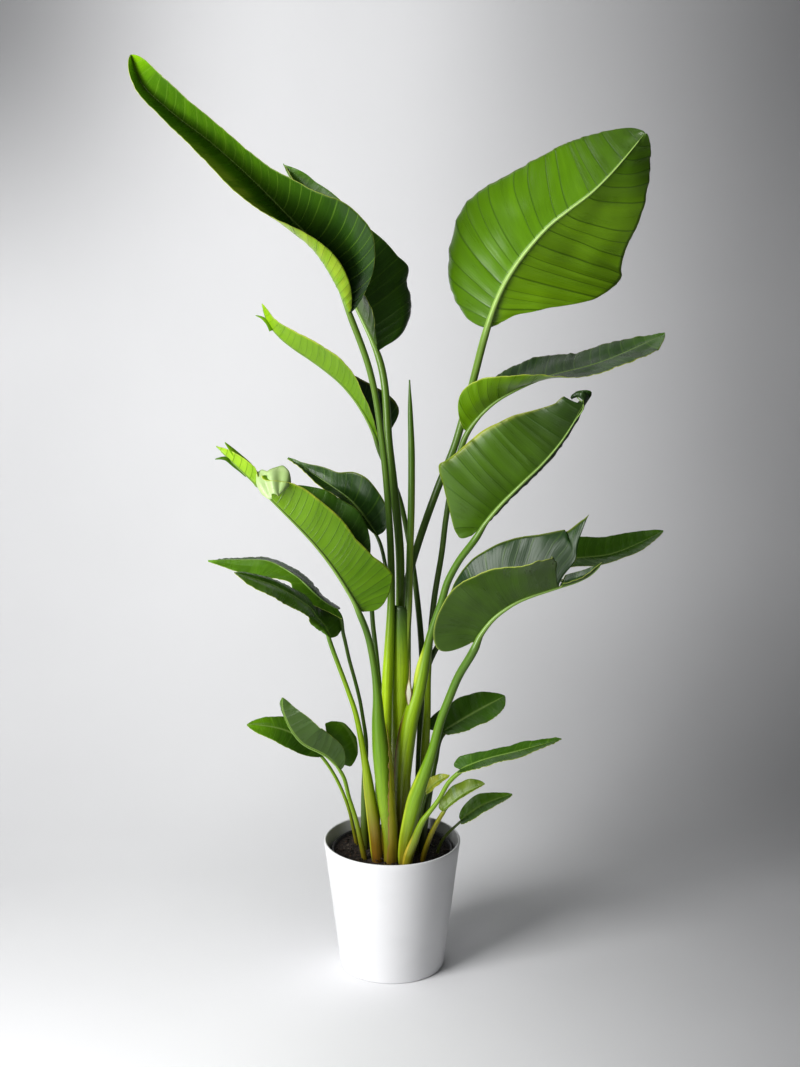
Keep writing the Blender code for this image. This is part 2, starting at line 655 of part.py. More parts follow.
class Blade:
    """The surface of one blade: a midrib route, and two halves folded and curled about it."""

    def __init__(self, leaf):
        self.leaf = leaf
        self.route = Route(leaf.blade)
        self.faces = [Vector(direction).normalized() for direction in leaf.face]
        self.widest = leaf.fullness / (leaf.fullness + leaf.taper)
        self.fullest = self.widest**leaf.fullness * (1 - self.widest) ** leaf.taper
        small = leaf.half_width < SMALL_BLADE_WIDTH
        self.rows, self.columns = SMALL_BLADE_GRID if small else BLADE_GRID

    def frame(self, along):
        """The midrib point, the way the blade faces there, and its right-hand side."""
        tangent = self.route.direction(along)
        face = self.faces[0].lerp(self.faces[1], min(max(along, 0.0), 1.0))
        face = (face - tangent * face.dot(tangent)).normalized()
        return self.route.at(along), face, tangent.cross(face)

    def margin(self, run, half):
        """A half's width at a share of its margin's run, and how far along the midrib it is."""
        plain = self.outline(run)
        factor, carry = read_stations(half.edge, run)
        reach = run + carry
        if run < self.widest:
            reach -= half.lobe * sin(pi * plain)
        full = plain * factor
        if run > half.torn:
            full = min(full, half.strip)
        return max(self.leaf.half_width * full, LEAST_WIDTH), reach

    def outline(self, run):
        """The plain paddle outline at a share of the run: 1 where the blade is widest."""
        return run**self.leaf.fullness * (1 - run) ** self.leaf.taper / self.fullest

    def row_share(self, row):
        """A row's run: rows crowd together at both ends, where the outline turns fastest."""
        return (1 - cos(pi * row / self.rows)) / 2

    def vein_root(self, run):
        """Where on the midrib the vein starts that ends at this share of the margin."""
        return run**VEIN_LAG

    def place(self, run, across):
        """The surface point at a share of the margin's run, from -1 (left margin) to 1 (right)."""
        leaf = self.leaf
        half = leaf.right if across >= 0 else leaf.left
        share = abs(across)
        width, reach = self.margin(run, half)
        along = mix(self.vein_root(run), reach, share**VEIN_BEND)
        settled = smooth(run / SETTLE_RUN)
        fold = radians(mix(half.fold_base, half.fold_tip, settled))
        curl = radians(mix(half.curl_base, half.curl_tip, settled)) or 0.001
        out = width * (sin(fold + curl * share) - sin(fold)) / curl
        up = width * (cos(fold) - cos(fold + curl * share)) / curl
        up += leaf.ripple * share**2 * sin(2 * pi * leaf.waves * run) * (width / leaf.half_width)
        origin, face, side = self.frame(along)
        return origin + side * (out if across >= 0 else -out) + face * up

    def rib_point(self, along, radius):
        """The centre of a rib of this radius, under the midrib."""
        origin, face, _ = self.frame(along)
        return origin - face * (radius + BLADE_THICKNESS + RIB_GAP)


def build_blade(leaf, blade, collection):
    """A leaf's blade: a grid laid on its surface, given its thickness."""
    form = bmesh.new()
    bmesh.ops.create_grid(form, x_segments=blade.rows, y_segments=blade.columns, size=1.0)
    for vert in form.verts:
        row = (vert.co.x + 1) / 2 * blade.rows
        vert.co = blade.place(blade.row_share(row), vert.co.y)
    mesh = bpy.data.meshes.new(leaf.name + "_blade")
    form.to_mesh(mesh)
    form.free()
    finish = material(leaf.name + "_blade_green", leaf.colour, 0.35)
    made = add_object(leaf.name + "_blade", mesh, collection, finish)
    solid = made.modifiers.new("thickness", "SOLIDIFY")
    solid.thickness = BLADE_THICKNESS
    solid.offset = 0.0
    return made


def tube_run(stations, steps=0):
    """Points and radii along a smooth run through (x, y, z, radius) stations."""
    route = Route([station[:3] for station in stations])
    steps = steps or max(3, round(route.length / STEM_STEP))
    widths = [(mark / route.length, station[3]) for mark, station in zip(route.marks, stations)]
    shares = [i / steps for i in range(steps + 1)]
    return [route.at(share) for share in shares], [read_stations(widths, share)[0] for share in shares]


def stem_run(leaf, blade):
    """The stem's points and radii: up from the soil to the collar, and on as the midrib."""
    rows = [0, *range(3, blade.rows - 1)]
    roots = [blade.vein_root(blade.row_share(row)) for row in rows]
    rib_radii = [mix(leaf.collar * RIB_SHARE, RIB_TIP_RADIUS, root) for root in roots]
    rib_radii[0] = leaf.collar
    rib = [blade.rib_point(root, radius) for root, radius in zip(roots, rib_radii)]
    points, radii = tube_run((*leaf.stem, (*rib[0], leaf.collar)))
    return points + rib[1:], radii + rib_radii[1:]


def build_soil(collection, cutters, sockets):
    """The soil: a mounded body that fills the nursery pot, with a socket for each stem."""
    floor = POT_FLOOR + GAP + GROW_WALL + GAP
    inside = GROW_WALL + GAP
    edge = grow_radius(SOIL_EDGE_HEIGHT) - inside
    profile = [
        (0.0, SOIL_CROWN_HEIGHT),
        (edge * 0.45, mix(SOIL_CROWN_HEIGHT, SOIL_EDGE_HEIGHT, 0.15)),
        (edge * 0.80, mix(SOIL_CROWN_HEIGHT, SOIL_EDGE_HEIGHT, 0.60)),
        (edge, SOIL_EDGE_HEIGHT),
        (grow_radius(floor) - inside, floor),
        (0.0, floor),
    ]
    made = turned("soil", profile, collection, material("potting_soil", (0.045, 0.028, 0.018, 1), 0.95))
    holes = bmesh.new()
    for socket in sockets:
        mesh = bpy.data.meshes.new("socket")
        socket.to_mesh(mesh)
        socket.free()
        holes.from_mesh(mesh)
        bpy.data.meshes.remove(mesh)
    cut(made, "stem_sockets", holes, cutters)
    return made


def socket_of(points, radii, collection):
    """The hole that a stem's foot leaves in the soil, a little wider and deeper than the stem."""
    kept = [i for i, point in enumerate(points) if point.z < SOIL_CROWN_HEIGHT + STEM_STEP]
    run = [points[i] for i in kept]
    wide = [radii[i] + SOCKET_GAP for i in kept]
    below = (run[0] - run[1]).normalized() * SOCKET_GAP
    return tube_mesh("socket_tube", [run[0] + below, *run], [wide[0], *wide], collection)


def cut_sheath_ring(soil, points, radii, cutters):
    """The shallow round hollow that the dry sheath leaves in the top of the soil."""
    ring = bmesh.new()
    wide = radii[0] + SHEATH_CLEARANCE + SHEATH_THICKNESS + SOCKET_GAP
    drill = bmesh.ops.create_cone(
        ring, cap_ends=True, segments=24, radius1=wide, radius2=wide, depth=SHEATH_RING_DEPTH,
    )
    middle = SHEATH_FOOT - SOCKET_GAP + SHEATH_RING_DEPTH / 2
    bmesh.ops.translate(ring, verts=drill["verts"], vec=(points[0].x, points[0].y, middle))
    cut(soil, "sheath_ring", ring, cutters)


def build_front_sheath(collection, points, radii):
    """A dry, pointed leaf base that clasps the right-hand side of the front left stem."""
    finish = material("dry_sheath", (0.30, 0.22, 0.06, 1), 0.6)
    route = Route(points)
    widths = [(mark / route.length, radius) for mark, radius in zip(route.marks, radii)]
    form = bmesh.new()
    bmesh.ops.create_grid(form, x_segments=10, y_segments=8, size=1.0)
    for vert in form.verts:
        height = (vert.co.x + 1) / 2
        level = SHEATH_FOOT + SHEATH_HEIGHT * height
        share = (level - points[0].z) / route.length
        centre = route.at(share)
        clasp = read_stations(widths, share)[0] + SHEATH_CLEARANCE
        left = mix(*SHEATH_LEFT, height**1.3)
        right = mix(*SHEATH_RIGHT, height**2)
        angle = radians(mix(left, right, (vert.co.y + 1) / 2)) - pi / 2
        vert.co = Vector((centre.x + clasp * cos(angle), centre.y + clasp * sin(angle), level))
    mesh = bpy.data.meshes.new("front_sheath")
    form.to_mesh(mesh)
    form.free()
    made = add_object("front_sheath", mesh, collection, finish)
    solid = made.modifiers.new("thickness", "SOLIDIFY")
    solid.thickness = SHEATH_THICKNESS
    solid.offset = 0.0
    return made


def build_spear(collection):
    """The rolled new leaf: a tapered tube from the soil to its point."""
    points, radii = tube_run(SPEAR)
    tube("spear", points, radii, collection, material("spear_green", FRESH, 0.4))
    return points, radii


def main():
    """Clears the scene and builds every piece."""
    for old in list(bpy.data.objects):
        bpy.data.objects.remove(old)
    plant = bpy.data.collections.new(NAME)
    cutters = bpy.data.collections.new("cutters")
    bpy.context.scene.collection.children.link(plant)
    bpy.context.scene.collection.children.link(cutters)

    build_pot(plant)
    build_grow_pot(plant, cutters)
    runs = {}
    for leaf in LEAVES:
        blade = Blade(leaf)
        build_blade(leaf, blade, plant)
        points, radii = stem_run(leaf, blade)
        tube(leaf.name + "_stem", points, radii, plant, material(leaf.name + "_stem_green", MID, 0.4))
        runs[leaf.name] = (points, radii)
    clasped = runs["left_leaf_4"]
    build_front_sheath(plant, *clasped)
    runs["spear"] = build_spear(plant)
    sockets = [socket_of(points, radii, cutters) for points, radii in runs.values()]
    soil = build_soil(plant, cutters, sockets)
    cut_sheath_ring(soil, *clasped, cutters)


main()
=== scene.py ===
"""The looks of a potted bird of paradise: twenty paddle leaves and a rolled spear in a white planter.

Everything is in metres in the part's own frame: +Z is up, and the origin is the centre of the
planter's underside. The viewer stands on the -Y side, so a leaf's left or right is the viewer's.
Stations are rows of a share of a run, or of a height, followed by the values there. Angles are
in degrees.
"""

import logging
import random
from collections.abc import Callable
from dataclasses import dataclass
from enum import Enum
from math import cos, pi, radians, sin

import bmesh
import bpy
from mathutils import Matrix, Vector, noise


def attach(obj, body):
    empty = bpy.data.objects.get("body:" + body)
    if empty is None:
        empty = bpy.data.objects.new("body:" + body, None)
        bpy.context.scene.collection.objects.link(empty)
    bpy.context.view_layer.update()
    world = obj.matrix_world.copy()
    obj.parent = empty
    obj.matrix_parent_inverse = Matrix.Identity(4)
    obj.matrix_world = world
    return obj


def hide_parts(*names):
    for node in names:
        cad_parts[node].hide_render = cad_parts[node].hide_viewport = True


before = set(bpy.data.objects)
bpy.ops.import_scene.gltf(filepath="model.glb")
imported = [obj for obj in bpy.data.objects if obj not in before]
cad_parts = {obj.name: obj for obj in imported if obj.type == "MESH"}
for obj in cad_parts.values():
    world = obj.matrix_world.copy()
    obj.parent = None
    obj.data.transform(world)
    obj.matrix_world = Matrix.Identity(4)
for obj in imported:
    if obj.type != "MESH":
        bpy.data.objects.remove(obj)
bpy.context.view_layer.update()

LOG = logging.getLogger("bird_of_paradise")
BODY = "root"

Colour = tuple[float, float, float, float]
Stations = tuple[tuple[float, ...], ...]
Point = tuple[float, float, float]
Pair = tuple[float, float]
Material = bpy.types.Material
Socket = bpy.types.NodeSocket
Sockets = dict[str, Socket]

# A side vein leaves the midrib at its share of the run to this power, and bends towards its end on
# the margin with this power of the way out.
VEIN_LAG = 1.20
VEIN_BEND = 1.5
# The share of a blade's run by which its folds and curls have gone over to the tip's.
SETTLE_RUN = 0.60
# No half of a blade is narrower than this, so that its grid stays open.
LEAST_WIDTH = 0.0018
# Stations are averaged over this share to each side, in this many steps.
STATION_BLUR = 0.020
BLUR_STEPS = 3
# Points closer than this become one.
MERGE = 0.00001

# Stem colours: (height, red, green, blue) stations.
DEEP_STEM = ((0.22, 0.075, 0.08, 0.008), (0.3, 0.07, 0.13, 0.006), (0.5, 0.045, 0.095, 0.006),
    (0.8, 0.045, 0.095, 0.008), (1.2, 0.06, 0.12, 0.012))
GREEN_STEM = ((0.22, 0.2, 0.14, 0.01), (0.27, 0.18, 0.22, 0.006), (0.34, 0.21, 0.36, 0.006),
    (0.45, 0.14, 0.28, 0.008), (0.6, 0.09, 0.19, 0.014), (1.2, 0.11, 0.2, 0.03))
LIGHT_STEM = ((0.22, 0.2, 0.12, 0.006), (0.3, 0.3, 0.29, 0.004), (0.42, 0.38, 0.51, 0.004),
    (0.58, 0.39, 0.59, 0.004), (0.69, 0.13, 0.25, 0.012), (0.8, 0.075, 0.155, 0.014),
    (1.2, 0.13, 0.235, 0.025))
WIDE_STEM = ((0.22, 0.18, 0.08, 0.01), (0.28, 0.19, 0.13, 0.006), (0.36, 0.25, 0.33, 0.005),
    (0.48, 0.29, 0.46, 0.006), (0.56, 0.24, 0.4, 0.01), (0.64, 0.095, 0.2, 0.014), (1.2, 0.11, 0.22, 0.025))
BACK_STEM = ((0.22, 0.08, 0.06, 0.008), (0.34, 0.2, 0.25, 0.006), (0.44, 0.3, 0.44, 0.006),
    (0.53, 0.28, 0.43, 0.006), (0.62, 0.06, 0.115, 0.008), (0.9, 0.05, 0.105, 0.01), (1, 0.12, 0.22, 0.03),
    (1.2, 0.2, 0.33, 0.05))


class Slot(Enum):
    """The record's material slots."""

    POT = "pot_white"
    PLASTIC = "black_plastic"
    SOIL = "potting_soil"
    LEAF = "leaf_green"
    LEAF_DEEP = "leaf_deep_green"
    LEAF_FRESH = "leaf_fresh_green"
    STEM = "stem_green"
    SHEATH = "dry_sheath"


@dataclass(frozen=True)
class Half:
    """Half a blade: its fold up from flat and its further curl, at base and tip.

    Past the share of the run where it is torn, only a strip of the half is left. The lobe
    carries the margin's base back past the collar. The edge gives (run, factor, carry) stations:
    the half is widened by the factor, and its margin carried on towards the tip, by nothing where
    the carry is left out. The roll gives (run, start, turn) stations: outside the start share, the
    half turns further by that much.
    """

    fold_base: float
    fold_tip: float
    curl_base: float = 0.0
    curl_tip: float = 0.0
    torn: float = 1.0
    strip: float = 0.2
    lobe: float = 0.05
    edge: Stations = ((0, 1), (1, 1))
    roll: Stations = ((0, 0.7, 0), (1, 0.7, 0))


@dataclass(frozen=True)
class Wrap:
    """The free edge of a stem's clasping base: where it starts and ends, and the way it faces.

    The turn goes round from the viewer's side, the lip is how far the edge stands off the stem,
    and the tint fades out over the spread, an angle.
    """

    low: float
    high: float
    turn: float
    lip: float
    tint: Colour
    spread: float = 16.0

    def held(self, height: float, fades: Pair) -> float:
        """How fully the edge is there at a height: it fades in above its start, out below its end."""
        return smooth((height - self.low) / fades[0]) * smooth((self.high - height) / fades[1])


@dataclass(frozen=True)
class Look:
    """How one leaf is finished. Tones run from 0, deep blue-green, to 1, fresh yellow-green.

    Tones and ripeness (a yellowed margin) are (run, left, right) stations from base to tip, with
    one value where both halves are alike. The pleats follow the side veins, the buckle is a slow
    wave of the blade and the ruffle one of its margin. The veins' share is how plainly the main
    side veins show in the colour, and the rib's how thick the midrib starts, against the collar.
    Some leaves' tones are lowered as painted shade and others raised as painted light.
    """

    upper: Stations = ((0, 0.3), (1, 0.3))
    under: Stations = ((0, 0.4), (1, 0.4))
    ripe: Stations = ((0, 0), (1, 0))
    ripe_from: float = 0.90
    pleat: float = 0.0007
    spacing: float = 0.017
    buckle: float = 0.0020
    ruffle: float = 0.0010
    stem: Stations = DEEP_STEM
    veins: float = 0.5
    rib: float = 0.70
    rib_tint: Colour = (0.22, 0.36, 0.07, 1.0)
    wraps: tuple[Wrap, ...] = ()


@dataclass(frozen=True)
class Leaf:
    """One leaf: its stem's run up from the soil, its midrib's run, and how the blade is held.

    Each stem point is (x, y, z, radius). The collar is the radius where the stem meets the blade.
    The face gives the way the blade looks at its base and at its tip.
    """

    name: str
    slot: Slot
    collar: float
    half_width: float
    stem: Stations
    blade: tuple[Point, ...]
    face: tuple[Point, Point]
    left: Half
    right: Half
    fullness: float = 0.45
    taper: float = 0.75
    ripple: float = 0.003
    waves: float = 3.0
    look: Look = Look()


LEAVES = (
    Leaf(
        "left_leaf_1", Slot.LEAF, collar=0.0056, half_width=0.085, taper=0.55, ripple=0.0015,
        stem=((-0.01, -0.018, 0.2, 0.009), (-0.01, -0.017, 0.42, 0.009), (-0.008, -0.012, 0.554, 0.01),
            (-0.004, -0.008, 0.627, 0.0085), (-0.001, -0.004, 0.7, 0.0068), (-0.002, 0, 0.791, 0.0062),
            (-0.007, 0, 0.882, 0.0058), (-0.015, 0, 0.971, 0.0057), (-0.038, -0.004, 1.113, 0.0056)),
        blade=((-0.072, -0.02, 1.214), (-0.13, -0.045, 1.336), (-0.169, -0.055, 1.378),
            (-0.224, -0.066, 1.436), (-0.294, -0.078, 1.501), (-0.366, -0.085, 1.558),
            (-0.405, -0.085, 1.596), (-0.422, -0.085, 1.643)),
        face=((0.12, -1, 0.05), (0.12, -1, 0.05)),
        left=Half(60, 66, 105, lobe=-0.01,
            edge=((0, 0.8), (0.1, 1), (0.4, 1.2), (0.5, 1.13), (0.6, 0.98), (0.75, 0.8), (0.85, 0.72),
                (0.93, 0.8), (1, 1.2))),
        right=Half(35, 62, lobe=-0.01,
            edge=((0, 0.9), (0.1, 1.35), (0.2, 1.62), (0.3, 1.42), (0.4, 1.04), (0.5, 0.8), (0.6, 0.74),
                (0.7, 0.8), (0.8, 1.05), (0.9, 1.5), (1, 2))),
        look=Look(ripe_from=0.6, pleat=0.0012, spacing=0.018, buckle=0.003, veins=1, stem=LIGHT_STEM,
            # The upper tones rise into the middle of the run: partly the blade's own colour, partly painted
            # light in the trough beside the midrib.
            upper=((0, 0.2, 0.18), (0.3, 0.4, 0.34), (0.6, 0.6, 0.54), (0.85, 0.6, 0.52), (0.94, 0.62, 0.56),
                (1, 0.95, 0.9)), under=((0, 0.74, 0.6), (0.5, 0.76, 0.6), (1, 0.7, 0.7)),
            ripe=((0, 0.25, 0), (0.6, 0.25, 0), (0.8, 0, 0), (1, 0, 0))),
    ),
    Leaf(
        "left_leaf_2", Slot.LEAF_DEEP, collar=0.0062, half_width=0.098, taper=1.15, ripple=0.002,
        stem=((0.01, 0.022, 0.2, 0.008), (0.01, 0.022, 0.45, 0.008), (0.014, 0.02, 0.619, 0.0081),
            (0.015, 0.02, 0.693, 0.0077), (0.014, 0.02, 0.786, 0.0076), (0.006, 0.025, 0.876, 0.0075),
            (-0.004, 0.03, 0.965, 0.0072)),
        blade=((-0.024, 0.05, 1.138), (-0.082, 0.085, 1.25), (-0.126, 0.11, 1.333), (-0.192, 0.165, 1.452)),
        face=((0.45, -0.85, 0.25), (0.35, -0.8, 0.45)),
        left=Half(80, 75, lobe=-0.03, edge=((0, 0.5), (0.15, 0.85), (0.3, 1), (1, 1))),
        right=Half(15, 40, -10, lobe=-0.01,
            edge=((0, 1.3), (0.05, 1.3), (0.1, 1.26), (0.2, 1.14), (0.24, 1.1), (0.29, 1.24), (0.36, 1.08),
                (0.6, 1.02), (0.85, 1.3), (1, 2.4)),
            roll=((0, 0.5, -70), (0.25, 0.6, -50), (0.5, 0.7, 0), (1, 0.7, 0))),
        look=Look(pleat=0.0014, spacing=0.022, buckle=0.006, veins=0.6, stem=LIGHT_STEM,
            upper=((0, 0.28, 0.38), (0.6, 0.32, 0.38), (1, 0.52, 0.56)),
            under=((0, 0.2, 0.25), (1, 0.3, 0.3))),
    ),
    Leaf(
        "left_leaf_3", Slot.LEAF_FRESH, collar=0.0045, half_width=0.06, ripple=0.001,
        stem=((0.05, 0.06, 0.2, 0.006), (0.054, 0.062, 0.4, 0.0058), (0.056, 0.066, 0.528, 0.0056),
            (0.053, 0.07, 0.603, 0.0056), (0.046, 0.075, 0.678, 0.0052), (0.03, 0.08, 0.789, 0.0048),
            (0.014, 0.084, 0.863, 0.0046)),
        blade=((-0.022, 0.09, 0.964), (-0.053, 0.09, 1.025), (-0.086, 0.09, 1.069), (-0.119, 0.088, 1.098),
            (-0.153, 0.086, 1.123), (-0.188, 0.083, 1.148), (-0.217, 0.08, 1.182), (-0.228, 0.08, 1.216)),
        face=((0.62, 0.1, 0.7), (0.75, 0, 0.65)),
        left=Half(30, 40, lobe=-0.02,
            edge=((0, 0.25), (0.1, 0.34), (0.2, 0.52), (0.3, 0.62), (0.4, 0.82), (0.5, 1.05), (0.6, 1.12),
                (0.7, 1.15), (0.85, 1.2), (1, 1.2))),
        right=Half(60, 15, lobe=-0.02,
            edge=((0, 1.5), (0.05, 1.75), (0.1, 1.6), (0.2, 1.25), (0.3, 0.92), (0.4, 0.62), (0.7, 0.7),
                (1, 0.8))),
        look=Look(ripe_from=0.94, spacing=0.012, veins=0.6, upper=((0, 0.15), (1, 0.3)),
            under=((0, 0.48, 0.32), (0.3, 0.62, 0.54), (0.8, 0.74, 0.68), (1, 0.86, 0.86)),
            ripe=((0, 0), (0.3, 0.4), (1, 0.6))),
    ),
    Leaf(
        "left_leaf_4", Slot.LEAF_FRESH, collar=0.0056, half_width=0.079, fullness=0.4, taper=0.8,
        ripple=0.0015,
        stem=((-0.004, -0.062, 0.2, 0.0112), (-0.004, -0.062, 0.268, 0.0116),
            (-0.012, -0.062, 0.344, 0.0138), (-0.02, -0.06, 0.439, 0.015), (-0.024, -0.06, 0.495, 0.0115),
            (-0.025, -0.06, 0.532, 0.0085), (-0.028, -0.06, 0.569, 0.0065), (-0.033, -0.06, 0.606, 0.006),
            (-0.04, -0.062, 0.644, 0.006)),
        blade=((-0.053, -0.08, 0.702), (-0.12, -0.1, 0.813), (-0.205, -0.115, 0.91), (-0.297, -0.1, 0.998)),
        face=((0.6, 0.56, 0.5), (0.4, 0.35, 0.8)),
        left=Half(60, 50, torn=0.775, strip=0.3,
            edge=((0, 0.95), (0.05, 1.15), (0.1, 1.26), (0.13, 1.16), (0.2, 0.92), (0.3, 0.79), (0.5, 0.85),
                (0.7, 0.95), (1, 1)),
            roll=((0, 0.6, 0), (0.6, 0.6, 0), (0.7, 0.5, -70), (0.775, 0.4, -170), (0.8, 0.6, 0),
                (1, 0.6, 0))),
        right=Half(65, 65, torn=0.78, strip=0.12,
            edge=((0, 0.8), (0.6, 0.72), (0.7, 0.5), (0.78, 0.3), (1, 1))),
        look=Look(ripe_from=0.965, pleat=0.0009, spacing=0.0115, buckle=0.0035, veins=1, stem=GREEN_STEM,
            upper=((0, 0.5), (1, 0.9)),
            under=((0, 0.5, 0.46), (0.3, 0.56, 0.5), (0.6, 0.62, 0.5), (0.78, 0.78, 0.5), (1, 0.86, 0.8)),
            ripe=((0, 0, 0), (0.3, 0.5, 0.2), (0.7, 1, 0.4), (1, 0.6, 0.6))),
    ),
    Leaf(
        "left_leaf_5", Slot.LEAF_DEEP, collar=0.0033, half_width=0.045, taper=1,
        stem=((-0.006, 0.044, 0.2, 0.0045), (-0.004, 0.045, 0.6, 0.0045), (-0.003, 0.046, 0.705, 0.004),
            (-0.01, 0.05, 0.741, 0.0034)),
        blade=((-0.027, 0.07, 0.8), (-0.075, 0.09, 0.859), (-0.13, 0.12, 0.893), (-0.19, 0.15, 0.925)),
        face=((0.05, -0.75, 0.6), (0, -0.6, 0.8)),
        left=Half(50, 40, lobe=0,
            edge=((0, 0.35), (0.15, 0.5), (0.35, 0.68), (0.5, 0.75), (0.65, 0.7), (0.8, 0.85), (1, 1.2))),
        right=Half(30, 55, lobe=0.02,
            edge=((0, 1), (0.2, 1.15), (0.35, 1.22), (0.45, 1.1), (0.55, 0.82), (0.65, 0.8), (0.8, 0.62),
                (0.9, 0.6), (1, 1.2))),
        look=Look(ripe_from=0.95, buckle=0.005, upper=((0, 0.26, 0.22), (0.8, 0.3, 0.3), (1, 0.6, 0.5)),
            ripe=((0, 0.3, 0.1), (1, 0.6, 0.3))),
    ),
    Leaf(
        "left_leaf_6", Slot.LEAF_DEEP, collar=0.004, half_width=0.038,
        stem=((-0.028, 0.006, 0.2, 0.005), (-0.024, 0.004, 0.42, 0.005), (-0.021, 0.006, 0.51, 0.0044),
            (-0.026, 0.012, 0.575, 0.0041), (-0.033, 0.02, 0.637, 0.0042)),
        blade=((-0.048, 0.026, 0.766), (-0.083, 0.03, 0.82), (-0.127, 0.035, 0.862), (-0.173, 0.04, 0.898)),
        face=((0.3, -0.6, 0.6), (0.1, -0.6, 0.8)),
        left=Half(45, 45),
        right=Half(35, 35, lobe=0.02, edge=((0, 0.6), (0.1, 0.72), (0.25, 1), (1, 1))),
        # Low upper tones: painted shade, for a leaf that stands in the shadow behind left_leaf_4.
        look=Look(upper=((0, 0.26, 0.32), (1, 0.42, 0.42))),
    ),
    Leaf(
        "left_leaf_7", Slot.LEAF_DEEP, collar=0.004, half_width=0.055, ripple=0.0015,
        stem=((-0.025, -0.05, 0.2, 0.0095), (-0.027, -0.05, 0.233, 0.0099), (-0.033, -0.05, 0.301, 0.0107),
            (-0.043, -0.05, 0.378, 0.0086), (-0.05, -0.05, 0.425, 0.0058), (-0.058, -0.05, 0.473, 0.005),
            (-0.066, -0.05, 0.51, 0.0046), (-0.078, -0.052, 0.548, 0.0041)),
        blade=((-0.108, -0.06, 0.648), (-0.117, -0.062, 0.669), (-0.13, -0.068, 0.687),
            (-0.142, -0.075, 0.707), (-0.153, -0.08, 0.717), (-0.172, -0.088, 0.733), (-0.201, -0.1, 0.753),
            (-0.232, -0.115, 0.769), (-0.268, -0.13, 0.785)),
        face=((0.42, -0.55, 0.68), (0.6, -0.25, 0.75)),
        left=Half(8, 8, lobe=-0.02,
            edge=((0, 0.3), (0.1, 0.38), (0.2, 0.44), (0.35, 0.55), (0.5, 0.66), (0.66, 0.85), (0.82, 1.15),
                (1, 1.3)), roll=((0, 0.4, -120), (0.2, 0.5, -60), (0.35, 0.6, 0), (1, 0.6, 0))),
        right=Half(0, 0, -25, -25,
            edge=((0, 1.4), (0.1, 1.5), (0.2, 1.15), (0.3, 0.66), (0.37, 0.5), (0.48, 0.44), (0.64, 0.42),
                (0.81, 0.4), (1, 0.6))),
        look=Look(buckle=0.004, ruffle=0.0014, veins=0.25, stem=WIDE_STEM,
            # The left half's upper tones are raised: painted light on the near half, which faces down, away
            # from the lamps.
            upper=((0, 0.56, 0.5), (0.5, 0.6, 0.46), (0.9, 0.6, 0.4), (1, 0.56, 0.56)),
            under=((0, 0.75, 0.7), (1, 0.5, 0.5)),
            wraps=(Wrap(0.215, 0.4, -80, 0.0015, (0.4, 0.42, 0.02, 1), spread=24),
                Wrap(0.215, 0.33, 70, 0.0015, (0.2, 0.16, 0.02, 1), spread=18))),
    ),
    Leaf(
        "left_leaf_8", Slot.LEAF_DEEP, collar=0.0034, half_width=0.056, ripple=0.0015,
        stem=((-0.05, 0.006, 0.2, 0.0072), (-0.05, 0.006, 0.317, 0.0069), (-0.049, 0.006, 0.376, 0.0055),
            (-0.048, 0.008, 0.442, 0.0036), (-0.052, 0.01, 0.47, 0.0033), (-0.058, 0.01, 0.508, 0.0033),
            (-0.066, 0.006, 0.545, 0.0033), (-0.0755, -0.005, 0.586, 0.0033),
            (-0.0855, -0.022, 0.64, 0.0033)),
        blade=((-0.096, -0.04, 0.694), (-0.117, -0.042, 0.707), (-0.133, -0.04, 0.72),
            (-0.146, -0.034, 0.732), (-0.161, -0.026, 0.744), (-0.184, -0.014, 0.757), (-0.216, 0, 0.77),
            (-0.269, 0, 0.773), (-0.325, 0, 0.772)),
        face=((0.35, -0.05, 0.9), (0.3, -0.05, 0.95)),
        left=Half(-26, -26, lobe=0.08,
            edge=((0, 0.9), (0.05, 0.5), (0.1, 0.38), (0.21, 0.54), (0.29, 0.62), (0.345, 0.34), (0.43, 0.5),
                (0.57, 0.9), (0.7, 0.84), (0.81, 0.86), (0.95, 0.67), (1, 0.67))),
        right=Half(5, 5, -15, -15,
            edge=((0, 0.8), (0.1, 0.55), (0.2, 0.5), (0.35, 0.55), (0.5, 0.5), (0.7, 0.45), (1, 0.5))),
        look=Look(buckle=0.004, ruffle=0.0014, veins=0.25,
            upper=((0, 0.46, 0.24), (0.4, 0.62, 0.24), (0.8, 0.6, 0.34), (0.95, 0.56, 0.34), (1, 0.8, 0.8))),
    ),
    Leaf(
        "left_leaf_9", Slot.LEAF_DEEP, collar=0.0034, half_width=0.056, ripple=0.001,
        stem=((-0.046, -0.04, 0.2, 0.0054), (-0.057, -0.045, 0.26, 0.0048), (-0.065, -0.047, 0.3, 0.0042),
            (-0.076, -0.05, 0.34, 0.0037)),
        blade=((-0.09, -0.07, 0.406), (-0.114, -0.075, 0.431), (-0.162, -0.085, 0.464),
            (-0.184, -0.09, 0.502), (-0.191, -0.09, 0.528), (-0.191, -0.09, 0.547)),
        face=((0.55, 0.3, 0.65), (0.4, 0.3, 0.8)),
        left=Half(55, 50, lobe=0, edge=((0, 0.5), (0.15, 0.72), (0.3, 0.85), (0.6, 1), (1, 1))),
        right=Half(0, 10, lobe=0, edge=((0, 1), (0.3, 1.1), (0.5, 0.9), (1, 0.6))),
        look=Look(buckle=0.004, stem=GREEN_STEM, upper=((0, 0.16, 0.2), (1, 0.24, 0.24)),
            under=((0, 0.18, 0.4), (1, 0.22, 0.4))),
    ),
    Leaf(
        "left_leaf_10", Slot.LEAF, collar=0.003, half_width=0.04, ripple=0.001,
        stem=((-0.062, 0.027, 0.2, 0.0036), (-0.071, 0.024, 0.251, 0.0033), (-0.079, 0.02, 0.292, 0.0031)),
        blade=((-0.126, 0.01, 0.401), (-0.19, -0.005, 0.455), (-0.26, -0.02, 0.473)),
        face=((0.3, -0.45, 0.8), (0.1, -0.4, 0.9)),
